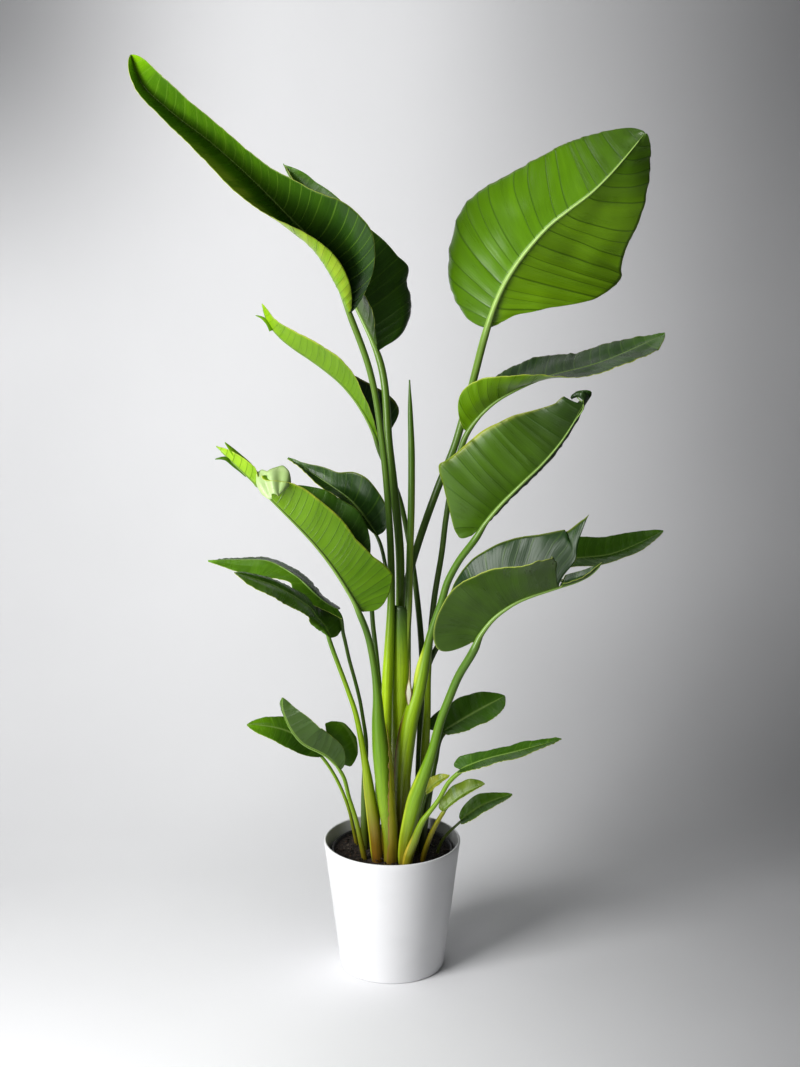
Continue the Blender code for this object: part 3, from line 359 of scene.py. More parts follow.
        left=Half(-8, -8, lobe=-0.02, edge=((0, 0.5), (0.2, 0.68), (0.4, 0.88), (0.7, 1), (1, 1.1))),
        right=Half(5, 5, edge=((0, 1), (0.5, 0.9), (0.7, 0.8), (1, 1))),
        look=Look(buckle=0.004, veins=0.7, stem=GREEN_STEM,
            upper=((0, 0.42, 0.5), (0.6, 0.5, 0.54), (1, 0.75, 0.8))),
    ),
    Leaf(
        "right_leaf_1", Slot.LEAF_FRESH, collar=0.0066, half_width=0.145, fullness=0.5, taper=0.6,
        ripple=0.002,
        stem=((0.022, 0.044, 0.2, 0.0072), (0.018, 0.043, 0.45, 0.0072), (0.018, 0.042, 0.612, 0.0072),
            (0.028, 0.038, 0.725, 0.0067), (0.038, 0.037, 0.763, 0.0067), (0.049, 0.037, 0.8, 0.0067),
            (0.081, 0.04, 0.893, 0.0066), (0.112, 0.046, 0.972, 0.0066), (0.128, 0.042, 1.03, 0.0066),
            (0.14, 0.028, 1.08, 0.0066)),
        blade=((0.164, 0, 1.186), (0.188, -0.025, 1.257), (0.256, -0.06, 1.358), (0.342, -0.09, 1.433),
            (0.414, -0.1, 1.519)),
        face=((0.05, 0.96, 0.25), (0.05, 0.96, 0.25)),
        left=Half(3, 25, 5, 5, lobe=-0.01,
            edge=((0, 0.35, 0), (0.05, 0.44, 0), (0.1, 0.66, 0), (0.2, 0.97, 0), (0.3, 1.2, 0),
                (0.4, 1.31, 0), (0.45, 1.36, 0.01), (0.5, 1.28, 0.03), (0.6, 1.03, 0.07), (0.8, 0.68, 0.08),
                (0.9, 0.54, 0.05), (1, 0.5, 0))),
        right=Half(33, 50, 10, 10,
            edge=((0, 1.05), (0.1, 1.24), (0.2, 1.27), (0.3, 1.31), (0.4, 1.1), (0.5, 0.97), (0.6, 0.93),
                (0.7, 0.95), (0.8, 1), (1, 1.05)),
            roll=((0, 0.7, 30), (0.3, 0.7, 40), (0.5, 0.7, 10), (1, 0.7, 0))),
        look=Look(pleat=0.003, spacing=0.026, buckle=0.0045, ruffle=0.0022, veins=1, rib=0.88,
            rib_tint=(0.36, 0.54, 0.13, 1), stem=BACK_STEM, upper=((0, 0.3), (1, 0.4)),
            # The left half's under tones are higher than the right's: painted light on the half that the
            # lamps leave darker.
            under=((0, 0.62, 0.42), (0.3, 0.72, 0.48), (0.7, 0.68, 0.48), (1, 0.3, 0.24))),
    ),
    Leaf(
        "right_leaf_2", Slot.LEAF_DEEP, collar=0.0052, half_width=0.085, ripple=0.002,
        stem=((0.052, 0.012, 0.2, 0.0078), (0.058, 0.02, 0.36, 0.0078), (0.061, 0.028, 0.425, 0.008),
            (0.064, 0.03, 0.482, 0.0064), (0.065, 0.035, 0.538, 0.0058), (0.069, 0.045, 0.611, 0.0054),
            (0.076, 0.05, 0.685, 0.0053), (0.09, 0.05, 0.778, 0.0052), (0.096, 0.045, 0.834, 0.0051),
            (0.113, 0.038, 0.93, 0.005)),
        blade=((0.13, 0.03, 1), (0.172, 0.025, 1.046), (0.251, 0.02, 1.09), (0.361, 0.03, 1.12),
            (0.477, 0.05, 1.168)),
        face=((-0.4, -0.2, 0.9), (-0.3, -0.25, 0.92)),
        left=Half(6, 2, lobe=-0.02, edge=((0, 0.2), (0.1, 0.6), (0.2, 1), (1, 1))),
        right=Half(88, 8, lobe=-0.01,
            edge=((0, 0.75), (0.1, 0.88), (0.2, 0.85), (0.3, 0.74), (0.4, 0.73), (0.5, 0.72), (0.6, 0.66),
                (0.7, 0.9), (0.8, 1.3), (0.9, 1.8), (1, 2.2))),
        look=Look(ripe_from=0.965, pleat=0.001, spacing=0.018, buckle=0.005, ruffle=0.0024, stem=BACK_STEM,
            upper=((0, 0.26), (0.8, 0.3), (1, 0.5)),
            under=((0, 0.5, 0.62), (0.5, 0.56, 0.66), (1, 0.4, 0.4)),
            ripe=((0, 0.1, 0.3), (0.5, 0.1, 0.6), (1, 0.4, 0.3))),
    ),
    Leaf(
        "right_leaf_3", Slot.LEAF_FRESH, collar=0.0062, half_width=0.12, fullness=0.35, ripple=0.001,
        stem=((0.014, -0.028, 0.2, 0.011), (0.017, -0.028, 0.32, 0.013), (0.024, -0.028, 0.427, 0.016),
            (0.033, -0.028, 0.484, 0.0148), (0.048, -0.03, 0.541, 0.012), (0.059, -0.031, 0.597, 0.0096),
            (0.066, -0.034, 0.634, 0.0072), (0.088, -0.042, 0.709, 0.0066), (0.098, -0.048, 0.746, 0.0064),
            (0.113, -0.056, 0.779, 0.0062)),
        blade=((0.147, -0.08, 0.845), (0.188, -0.09, 0.897), (0.22, -0.098, 0.932), (0.257, -0.105, 0.971),
            (0.29, -0.11, 1.014), (0.314, -0.115, 1.058), (0.322, -0.116, 1.078), (0.314, -0.108, 1.084),
            (0.303, -0.103, 1.08)),
        face=((-0.55, 0.65, 0.53), (-0.5, 0.65, 0.55)),
        left=Half(-12, -12, 150, 150, lobe=0.02,
            edge=((0, 0.5), (0.1, 0.62), (0.5, 0.62), (0.8, 0.62), (0.9, 0.62), (1, 0.9))),
        right=Half(36, 36, 32, 32, lobe=0.08,
            edge=((0, 0.3, -0.02), (0.05, 0.5, -0.03), (0.1, 0.72, -0.03), (0.15, 0.93, -0.03),
                (0.19, 1.14, -0.03), (0.23, 1.04, -0.04), (0.3, 0.98, -0.04), (0.39, 0.97, -0.05),
                (0.6, 1.02, -0.05), (0.7, 1.04, -0.05), (0.8, 0.98, -0.04), (0.88, 0.85, -0.02),
                (0.94, 1, 0), (1, 1.4, 0))),
        look=Look(ripe_from=0.96, pleat=0.0022, spacing=0.022, buckle=0.004, ruffle=0.0018, veins=0.8,
            stem=WIDE_STEM, upper=((0, 0.2), (1, 0.3)),
            under=((0, 0.18, 0.36), (0.25, 0.12, 0.32), (0.5, 0.12, 0.36), (0.75, 0.08, 0.22),
                (1, 0.04, 0.04)),
            ripe=((0, 0, 0), (0.25, 0, 0.2), (0.4, 0, 0.6), (0.6, 0, 0.5), (0.85, 0, 0.3), (1, 0, 0)),
            wraps=(Wrap(0.255, 0.505, -74, 0.0022, (0.26, 0.12, 0.02, 1), spread=22),
                Wrap(0.54, 0.63, -70, 0.003, (0.46, 0.56, 0.05, 1), spread=46))),
    ),
    Leaf(
        "right_leaf_4", Slot.LEAF, collar=0.0073, half_width=0.108, fullness=0.35, taper=0.35, ripple=0.0015,
        stem=((0.023, -0.066, 0.2, 0.0114), (0.027, -0.071, 0.273, 0.0122), (0.034, -0.077, 0.313, 0.0131),
            (0.042, -0.082, 0.352, 0.0134), (0.06, -0.09, 0.412, 0.0105), (0.072, -0.094, 0.451, 0.0086),
            (0.086, -0.1, 0.509, 0.0076), (0.099, -0.107, 0.548, 0.0073), (0.113, -0.113, 0.587, 0.0073)),
        blade=((0.14, -0.14, 0.664), (0.175, -0.145, 0.71), (0.218, -0.152, 0.742), (0.26, -0.158, 0.759),
            (0.295, -0.163, 0.772), (0.331, -0.172, 0.789), (0.354, -0.18, 0.815)),
        face=((-0.4, 0.3, 0.85), (-0.3, 0.3, 0.9)),
        left=Half(72, 80, torn=0.72, strip=0.16, lobe=0.1,
            edge=((0, 1, 0), (0.2, 1.1, 0), (0.3, 1.07, 0.01), (0.4, 0.98, 0.08), (0.5, 0.9, 0.14),
                (0.6, 0.86, 0.28), (0.66, 0.8, 0.37), (0.7, 0.76, 0.4), (0.72, 0.75, 0.43), (0.721, 1, 0),
                (1, 1, 0))),
        right=Half(60, 28, 0, -15, torn=0.72, strip=0.14, lobe=0.18,
            edge=((0, 0.92, 0), (0.1, 0.96, 0), (0.2, 1, 0), (0.3, 1.08, 0), (0.4, 1.12, 0),
                (0.5, 1.22, 0.02), (0.6, 1.38, 0.05), (0.72, 1.3, 0.14), (0.721, 1, 0), (1, 1, 0))),
        look=Look(ripe_from=0.985, buckle=0.006, ruffle=0.0014, veins=0.35, stem=GREEN_STEM,
            upper=((0, 0.12, 0.18), (1, 0.24, 0.28)),
            under=((0, 0.26, 0.26), (0.5, 0.3, 0.32), (1, 0.3, 0.3)),
            ripe=((0, 0, 0.1), (0.4, 0.1, 0.3), (0.8, 0.2, 0.3), (1, 0.2, 0.2)),
            wraps=(Wrap(0.215, 0.425, -72, 0.0022, (0.36, 0.46, 0.02, 1), spread=20),)),
    ),
    Leaf(
        "right_leaf_5", Slot.LEAF_DEEP, collar=0.0045, half_width=0.055, ripple=0.0015,
        stem=((0.046, 0.044, 0.2, 0.005), (0.05, 0.048, 0.42, 0.005), (0.057, 0.052, 0.53, 0.005),
            (0.088, 0.055, 0.605, 0.0048)),
        blade=((0.159, 0.06, 0.682), (0.231, 0.065, 0.72), (0.307, 0.07, 0.752), (0.4, 0.085, 0.762),
            (0.492, 0.1, 0.801)),
        face=((-0.25, -0.35, 0.9), (-0.15, -0.35, 0.92)),
        left=Half(20, 20, edge=((0, 1), (0.5, 0.97), (0.7, 0.92), (1, 1.2))),
        right=Half(20, 20, edge=((0, 1), (0.6, 1), (0.75, 1.35), (1, 1.6))),
        look=Look(pleat=0.001, buckle=0.004, veins=0.4, upper=((0, 0.48), (0.9, 0.48), (1, 0.54))),
    ),
    Leaf(
        "right_leaf_6", Slot.LEAF_DEEP, collar=0.005, half_width=0.038, ripple=0.0015,
        stem=((0.052, -0.006, 0.2, 0.0066), (0.061, -0.004, 0.29, 0.007), (0.069, 0, 0.34, 0.006),
            (0.078, 0.01, 0.39, 0.0055)),
        blade=((0.095, 0.05, 0.435), (0.147, 0.07, 0.461), (0.208, 0.09, 0.489)),
        face=((-0.2, -0.6, 0.75), (-0.1, -0.55, 0.8)),
        left=Half(20, 20, lobe=0.2, edge=((0, 1.3), (0.15, 1.15), (0.3, 1), (1, 1.05))),
        right=Half(20, 20, edge=((0, 0.9), (0.4, 1), (0.6, 1.2), (0.8, 1.6), (1, 2.2))),
        look=Look(buckle=0.004, ruffle=0.0016, veins=0.2, upper=((0, 0.46), (1, 0.48))),
    ),
    Leaf(
        "right_leaf_7", Slot.LEAF_DEEP, collar=0.0039, half_width=0.032, ripple=0.0012,
        stem=((0.028, -0.089, 0.212, 0.0078), (0.029, -0.093, 0.243, 0.0084), (0.041, -0.098, 0.283, 0.0075),
            (0.056, -0.103, 0.323, 0.0055), (0.068, -0.106, 0.341, 0.0042), (0.082, -0.109, 0.362, 0.004),
            (0.101, -0.112, 0.398, 0.004)),
        blade=((0.121, -0.12, 0.425), (0.154, -0.125, 0.442), (0.222, -0.13, 0.463), (0.296, -0.13, 0.484)),
        face=((-0.2, -0.35, 0.9), (-0.15, -0.35, 0.92)),
        left=Half(20, 20, lobe=0.08,
            edge=((0, 1), (0.08, 1.1), (0.13, 0.85), (0.2, 0.68), (0.3, 0.5), (0.5, 0.46), (0.63, 0.62),
                (0.75, 0.5), (0.9, 0.6), (1, 1))),
        right=Half(20, 20),
        look=Look(ripe_from=0.96, buckle=0.003, ruffle=0.0016, stem=GREEN_STEM, upper=((0, 0.4), (1, 0.46)),
            ripe=((0, 0, 0), (0.7, 0, 0.2), (1, 0.3, 0.7)),
            wraps=(Wrap(0.205, 0.3, -66, 0.0018, (0.46, 0.36, 0.03, 1), spread=26),)),
    ),
    Leaf(
        "right_leaf_8", Slot.LEAF_FRESH, collar=0.0036, half_width=0.026, ripple=0.001,
        stem=((0.05, -0.055, 0.2, 0.0048), (0.06, -0.06, 0.247, 0.0048), (0.074, -0.065, 0.288, 0.0045)),
        blade=((0.091, -0.07, 0.327), (0.126, -0.07, 0.357), (0.166, -0.07, 0.378)),
        face=((-0.25, -0.45, 0.85), (-0.15, -0.45, 0.88)),
        left=Half(20, 20, edge=((0, 0.8), (0.2, 0.85), (0.6, 1), (0.85, 1.25), (1, 1.5))),
        right=Half(20, 20, lobe=0, edge=((0, 0.3), (0.3, 0.3), (1, 0.5))),
        look=Look(ripe_from=0, veins=0.1, stem=LIGHT_STEM, upper=((0, 0.58), (1, 0.52)),
            under=((0, 0.58), (1, 0.52)), ripe=((0, 0.18, 0.18), (1, 0.22, 0.18))),
    ),
    Leaf(
        "right_leaf_9", Slot.LEAF_FRESH, collar=0.0028, half_width=0.015, ripple=0.0008,
        stem=((0.044, -0.02, 0.2, 0.0036), (0.05, -0.02, 0.28, 0.0034)),
        blade=((0.062, -0.016, 0.341), (0.08, -0.018, 0.36), (0.104, -0.02, 0.375)),
        face=((-0.3, -0.45, 0.8), (-0.2, -0.45, 0.85)),
        left=Half(20, 20),
        right=Half(20, 20),
        look=Look(ripe_from=0, veins=0.1, upper=((0, 0.5), (1, 0.6)), under=((0, 0.5), (1, 0.6)),
            ripe=((0, 0.7), (1, 0.6))),
    ),
    Leaf(
        "right_leaf_10", Slot.LEAF, collar=0.0022, half_width=0.026, ripple=0.0008,
        stem=((0.078, -0.014, 0.2, 0.0032), (0.092, -0.021, 0.25, 0.0028)),
        blade=((0.125, -0.03, 0.293), (0.17, -0.03, 0.325), (0.217, -0.03, 0.343)),
        face=((-0.2, -0.45, 0.85), (-0.1, -0.45, 0.88)),
        left=Half(20, 20, lobe=0.02, edge=((0, 0.7), (0.2, 0.85), (0.5, 0.9), (0.8, 0.65), (1, 0.8))),
        right=Half(20, 20),
        look=Look(veins=0.2, upper=((0, 0.56, 0.38), (1, 0.62, 0.5))),
    ),
)

# The spear's (x, y, z, radius) stations.
SPEAR = ((0.021, 0, 0.2, 0.0066), (0.022, 0, 0.42, 0.007), (0.025, 0.001, 0.549, 0.0078),
    (0.026, 0, 0.625, 0.0078), (0.03, 0, 0.699, 0.007), (0.032, 0, 0.791, 0.0063), (0.034, 0, 0.882, 0.006),
    (0.034, 0, 0.971, 0.0058), (0.032, 0, 1.045, 0.0042), (0.031, 0, 1.095, 0.001))


def mix(a: float, b: float, share: float) -> float:
    """The value that lies a share of the way from a to b."""
    return a + (b - a) * share


def smooth(share: float) -> float:
    """Eases from 0 to 1, level at both ends."""
    held = min(max(share, 0.0), 1.0)
    return held * held * (3 - 2 * held)


def pulse(past: float, rise: float, fall: float) -> float:
    """Eases up to 1 over the rise, then back down to 0 over the fall."""
    return smooth(past / rise) * (1.0 - smooth((past - rise) / fall))


def read_stations(stations: Stations, share: float) -> list[float]:
    """Reads stations at a share.

    Args:
        stations: (share, value, ...) rows in order.
        share: Where to read.

    Returns:
        The values there, or those of the nearest end.
    """
    if share <= stations[0][0]:
        return list(stations[0][1:])
    for (low, *first), (high, *last) in zip(stations, stations[1:]):
        if share <= high:
            return [mix(a, b, (share - low) / (high - low)) for a, b in zip(first, last)]
    return list(stations[-1][1:])


def soft_stations(stations: Stations, share: float) -> list[float]:
    """Reads stations at a share, with the corners between them eased.

    Args:
        stations: (share, value, ...) rows in order.
        share: Where to read.

    Returns:
        The mean of the values close by.
    """
    steps = range(-BLUR_STEPS, BLUR_STEPS + 1)
    reads = [read_stations(stations, share + STATION_BLUR * k / BLUR_STEPS) for k in steps]
    return [sum(values) / len(values) for values in zip(*reads)]


def side_stations(stations: Stations, share: float, side: float) -> float:
    """The value at a share, from the left one at side 0 to the right one at side 1."""
    values = soft_stations(stations, share)
    return mix(values[0], values[-1], side)


def read_colour(stations: Stations, share: float) -> Colour:
    """The colour at a share, from (share, red, green, blue) stations."""
    return (*soft_stations(stations, share), 1.0)


def mix_colour(a: Colour, b: Colour, share: float) -> Colour:
    """The colour that lies a share of the way from a to b."""
    return tuple(mix(p, q, share) for p, q in zip(a, b))


class Route:
    """A smooth run through a few chosen points, read by the share of its length."""

    REACH = 0.001

    def __init__(self, points: list[Point]) -> None:
        """Marks the length at each point and finds the slopes there.

        Args:
            points: The points that the run goes through.
        """
        self.points = [Vector(point) for point in points]
        self.marks = [0.0]
        for start, end in zip(self.points, self.points[1:]):
            self.marks.append(self.marks[-1] + (end - start).length)
        self.length = self.marks[-1]
        self.slopes = self.find_slopes()

    def find_slopes(self) -> list[Vector]:
        """Finds the direction of travel at each point.

        Returns:
            One slope to each point; inner ones weigh the two chords that meet there.
        """
        steps = [b - a for a, b in zip(self.marks, self.marks[1:])]
        chords = [(b - a) / step for a, b, step in zip(self.points, self.points[1:], steps)]
        inner = [
            (chords[i] * steps[i + 1] + chords[i + 1] * steps[i]) / (steps[i] + steps[i + 1])
            for i in range(len(chords) - 1)
        ]
        first = chords[0] * 1.5 - inner[0] * 0.5
        last = chords[-1] * 1.5 - inner[-1] * 0.5
        return [first, *inner, last]

    def at(self, share: float) -> Vector:
        """Finds a point of the run.

        Args:
            share: The share of its length. Past an end, the run goes on straight.

        Returns:
            The point.
        """
        travelled = share * self.length
        if travelled <= 0.0:
            return self.points[0] + self.slopes[0] * travelled
        if travelled >= self.length:
            return self.points[-1] + self.slopes[-1] * (travelled - self.length)
        i = max(n for n, mark in enumerate(self.marks[:-1]) if mark <= travelled)
        step = self.marks[i + 1] - self.marks[i]
        t = (travelled - self.marks[i]) / step
        return (
            self.points[i] * (2 * t**3 - 3 * t**2 + 1)
            + self.slopes[i] * (step * (t**3 - 2 * t**2 + t))
            + self.points[i + 1] * (3 * t**2 - 2 * t**3)
            + self.slopes[i + 1] * (step * (t**3 - t**2))
        )

    def direction(self, share: float) -> Vector:
        """The unit tangent at a share of the length."""
        return (self.at(share + self.REACH) - self.at(share - self.REACH)).normalized()

    def frame(self, share: float, face: Vector) -> tuple[Vector, Vector, Vector]:
        """Sets up the axes at a share of the run.

        Args:
            share: The share of the length.
            face: Roughly the way to face.

        Returns:
            The point, the face squared to the run there, and the side to its right.
        """
        tangent = self.direction(share)
        square = (face - tangent * face.dot(tangent)).normalized()
        return self.at(share), square, tangent.cross(square)


# ---------------------------------------- shading


class Graph:
    """A node tree being wired: adds nodes, sets what they hold and joins their sockets."""

    def __init__(self, tree: bpy.types.NodeTree) -> None:
        """Keeps the tree that is being wired."""
        self.tree = tree

    def feed(self, node: bpy.types.Node, inputs: dict[str | int, object]) -> None:
        """Gives some of a node's inputs their values.

        Args:
            node: The node.
            inputs: Constants or source sockets, by input name or index.
        """
        for name, value in inputs.items():
            if isinstance(value, Socket):
                self.tree.links.new(value, node.inputs[name])
            else:
                node.inputs[name].default_value = value

    def add(self, kind: str, inputs: dict | None = None, **settings: object) -> bpy.types.Node:
        """Adds one node.

        Args:
            kind: The node's type, without its "ShaderNode" prefix.
            inputs: Constants or source sockets, by input name or index.
            settings: The node's own properties.

        Returns:
            The new node.
        """
        node = self.tree.nodes.new("ShaderNode" + kind)
        for name, value in settings.items():
            setattr(node, name, value)
        self.feed(node, inputs or {})
        return node

    def math(self, operation: str, first: object, second: object = 0.0) -> Socket:
        """The result of one Math node."""
        return self.add("Math", {0: first, 1: second}, operation=operation).outputs[0]

    def times(self, first: object, second: object) -> Socket:
        """The product of two values."""
        return self.math("MULTIPLY", first, second)

    def plus(self, first: object, second: object) -> Socket:
        """The sum of two values."""
        return self.math("ADD", first, second)

    def crest(self, value: object) -> Socket:
        """How far a value is from halfway between two whole numbers: 0.5 at a whole number."""
        return self.math("ABSOLUTE", self.math("SUBTRACT", self.math("FRACT", value), 0.5))

    def ramp(self, value: object, low: float, high: float) -> Socket:
        """Rises smoothly from 0 to 1 as the value goes from low to high."""
        limits = {0: value, 1: low, 2: high, 3: 0.0, 4: 1.0}
        return self.add("MapRange", limits, interpolation_type="SMOOTHSTEP").outputs[0]

    def blend(self, share: object, first: object, second: object) -> Socket:
        """The colour that lies a share of the way from the first to the second."""
        return self.add("Mix", {0: share, 6: first, 7: second}, data_type="RGBA").outputs[2]

    def bump(self, height: object, strength: float, distance: float) -> Socket:
        """A normal pushed by a height."""
        return self.add("Bump", {"Height": height, "Strength": strength, "Distance": distance}).outputs[0]

    def read(self, name: str, output: str = "Fac") -> Socket:
        """What a named attribute of the mesh holds."""
        return self.add("Attribute", attribute_name=name).outputs[output]

    def place(self) -> Socket:
        """The object's own coordinates."""
        return self.add("TexCoord").outputs["Object"]

    def split(self, vector: Socket) -> list[Socket]:
        """The x, y and z of a vector."""
        return list(self.add("SeparateXYZ", {0: vector}).outputs)

    def noise(self, place: Socket, scale: object, detail: float, roughness: float = 0.5) -> Socket:
        """Noise about 0.5."""
        inputs = {"Vector": place, "Scale": scale, "Detail": detail, "Roughness": roughness}
        return self.add("TexNoise", inputs).outputs[0]

    def streaks(self, uv_map: str, scales: Pair, detail: float, roughness: float) -> Socket:
        """Adds noise over a map.

        Args:
            uv_map: The map's name.
            scales: The scales along it and across it.
            detail: The noise's octaves.
            roughness: How strong the fine ones are.

        Returns:
            The noise, about 0.5.
        """
        along, across, _ = self.split(self.add("UVMap", uv_map=uv_map).outputs[0])
        place = self.add("CombineXYZ", {0: self.times(along, scales[0]), 1: self.times(across, scales[1])})
        return self.noise(place.outputs[0], 1.0, detail, roughness)

    def colours(self, value: object, stops: tuple[tuple[float, Colour], ...]) -> Socket:
        """Reads a colour off a ramp.

        Args:
            value: Where to read.
            stops: (place, colour) pairs in order.

        Returns:
            The colour.
        """
        node = self.add("ValToRGB", {0: value})
        ramp = node.color_ramp
        ramp.elements[0].position, ramp.elements[0].color = stops[0]
        ramp.elements[1].position, ramp.elements[1].color = stops[-1]
        for place, colour in stops[1:-1]:
            ramp.elements.new(place).color = colour
        return node.outputs[0]


def start_material(name: str) -> tuple[Material, Graph, bpy.types.Node]:
    """Starts a material.

    Args:
        name: Its name.

    Returns:
        The material, its graph and its Principled BSDF.
    """
    made = bpy.data.materials.new(name)
    made.use_nodes = True
    return made, Graph(made.node_tree), made.node_tree.nodes["Principled BSDF"]


def make_group(
    name: str, inputs: tuple[str, ...], wire: Callable[[Graph, Sockets], Sockets]
) -> bpy.types.NodeTree:
    """Makes a shader node group of plain values.

    Args:
        name: The group's name.
        inputs: The names of its inputs.
        wire: Wires the inside, from the input sockets to the output sockets by name.

    Returns:
        The node group.
    """
    tree = bpy.data.node_groups.new(name, "ShaderNodeTree")
    for socket in inputs:
        tree.interface.new_socket(socket, in_out="INPUT", socket_type="NodeSocketFloat")
    graph = Graph(tree)
    results = wire(graph, tree.nodes.new("NodeGroupInput").outputs)
    for socket in results:
        tree.interface.new_socket(socket, in_out="OUTPUT", socket_type="NodeSocketFloat")
    graph.feed(tree.nodes.new("NodeGroupOutput"), results)
    return tree


# Fine veins to each main side vein.
FINE_VEINS = 6.0
# What the main veins, the fine veins and the grain add to a blade's height.
VEIN_HEIGHT, FINE_VEIN_HEIGHT, GRAIN_HEIGHT = 0.5, 0.15, 0.35
# The noise scales of a blade's grain and mottle, along it and across it.
GRAIN_SCALES, MOTTLE_SCALES = (420.0, 6.0), (60.0, 9.0)
# The noise scales of wear, and of the soil's crumbs and clouds.
WEAR_SCALE, CRUMB_SCALE, CLOUD_SCALE = 9.0, 260.0, 120.0
FLECK_SHARE = 0.5


def wire_veins(g: Graph, given: Sockets) -> Sockets:
    """The veins of a blade, read off its own map in metres, x along the midrib and y across it.

    The "phase" attribute counts the main side veins, so they run in the pleats' creases.

    Args:
        g: The group's graph.
        given: Its inputs: the width of the midrib's mark to each side.

    Returns:
        A height, the main side veins, a streaky mottle, the midrib and the margin.
    """
    phase = g.read("phase")
    veins = g.times(g.ramp(g.crest(phase), 0.43, 0.5), g.read("veins"))
    fine = g.ramp(g.crest(g.times(phase, FINE_VEINS)), 0.30, 0.5)
    lines = g.plus(g.times(veins, VEIN_HEIGHT), g.times(fine, FINE_VEIN_HEIGHT))
    grain = g.streaks("blade", GRAIN_SCALES, 2.0, 0.6)
    across = g.split(g.add("UVMap", uv_map="blade").outputs[0])[1]
    rib = g.math("SUBTRACT", 1.0, g.math("DIVIDE", g.math("ABSOLUTE", across), given["Midrib Width"]))
    return {
        "Height": g.plus(lines, g.times(grain, GRAIN_HEIGHT)),
        "Veins": veins,
        "Mottle": g.streaks("blade", MOTTLE_SCALES, 3.0, 0.55),
        "Midrib": g.ramp(rib, 0.0, 0.6),
        "Margin": g.ramp(g.read("share"), 0.980, 0.997),
    }


def wire_wear(g: Graph, given: Sockets) -> Sockets:
    """Wires slow clouds of wear and a fine grit.

    Args:
        g: The group's graph.
        given: Its inputs: the grit's scale.

    Returns:
        The worn patches and the grit.
    """
    place = g.place()
    worn = g.ramp(g.noise(place, WEAR_SCALE, 4.0), 0.45, 0.75)
    return {"Worn": worn, "Grit": g.noise(place, given["Grain"], 2.0)}


def wire_crumbs(g: Graph, _: Sockets) -> Sockets:
    """Wires crumbs of soil.

    Args:
        g: The group's graph.

    Returns:
        A height, the paler patches and a few light flecks.
    """
    place = g.place()
    crumbs = g.add("TexVoronoi", {"Vector": place, "Scale": CRUMB_SCALE}).outputs
    cloud = g.noise(place, CLOUD_SCALE, 6.0, 0.7)
    return {
        "Height": g.plus(crumbs["Distance"], cloud),
        "Pale": g.ramp(cloud, 0.35, 0.75),
        "Flecks": g.times(g.ramp(crumbs["Color"], 0.86, 0.95), FLECK_SHARE),
    }


@dataclass(frozen=True)
class BladeFinish:
    """One side of the blades: its tones, its gloss and how far its veins stand out."""

    name: str
    tone: str
    stops: tuple[tuple[float, Colour], ...]
    vein_colour: Colour
    midrib: Colour
    margin: Colour
    ripe: Colour
    vein_share: float
    relief: float
    roughness: float
    gloss: float
    glow: Colour
    glow_share: float

    MIDRIB_WIDTH = 0.0042
    MIDRIB_SHARE, MARGIN_SHARE = 0.8, 0.5
    MOTTLING, UNEVENNESS = 0.26, 0.16
    DEPTH = 0.0010

    def material(self, veins: bpy.types.NodeTree) -> Material:
        """Builds the material.

        Args:
            veins: The vein group.

        Returns:
            The finished material.
        """
        made, g, shader = start_material(self.name)
        group = g.add("Group", node_tree=veins)
        group.inputs["Midrib Width"].default_value = self.MIDRIB_WIDTH
        mask = group.outputs
        mottling = g.times(g.math("SUBTRACT", mask["Mottle"], 0.5), self.MOTTLING)
        colour = g.colours(g.plus(g.read(self.tone), mottling), self.stops)
        for share, other in (
            (g.times(mask["Veins"], self.vein_share), self.vein_colour),
            (g.times(mask["Midrib"], self.MIDRIB_SHARE), self.midrib),
            (g.times(mask["Margin"], self.MARGIN_SHARE), self.margin),
            (g.times(g.read("ripe"), g.ramp(mask["Mottle"], 0.25, 0.55)), self.ripe),
        ):
            colour = g.blend(share, colour, other)
        rough = g.plus(self.roughness - self.UNEVENNESS / 2, g.times(mask["Mottle"], self.UNEVENNESS))
        normal = g.bump(mask["Height"], self.relief, self.DEPTH)
        g.feed(shader, {"Base Color": colour, "Roughness": rough, "Normal": normal})
        g.feed(shader, {"Specular IOR Level": self.gloss})
        glow = g.add("BsdfTranslucent", {"Color": self.glow})
        both = g.add("MixShader", {0: self.glow_share, 1: shader.outputs[0], 2: glow.outputs[0]})
        g.feed(made.node_tree.nodes["Material Output"], {"Surface": both.outputs[0]})
        return made


@dataclass(frozen=True)
class StemFinish:
    """The stems: a painted tint with fine streaks that run up the stem, and a few spots."""

    name: str
    roughness: float
    relief: float
    streak: Colour
    spot: Colour

    STREAK_SHARE, SPOT_SHARE = 0.30, 0.25
    DEPTH = 0.0006

    def material(self) -> Material:
        """Builds the material.

        Returns:
            The finished material.
        """
        made, g, shader = start_material(self.name)
        lines = g.streaks("stem", (14.0, 26.0), 3.0, 0.6)
        streaks = g.times(g.ramp(lines, 0.42, 0.72), self.STREAK_SHARE)
        spots = g.times(g.ramp(g.noise(g.place(), 34.0, 3.0), 0.5, 0.8), self.SPOT_SHARE)
        colour = g.blend(spots, g.blend(streaks, g.read("tint", "Color"), self.streak), self.spot)
        normal = g.bump(lines, self.relief, self.DEPTH)
        g.feed(shader, {"Base Color": colour, "Roughness": self.roughness, "Normal": normal})
        return made


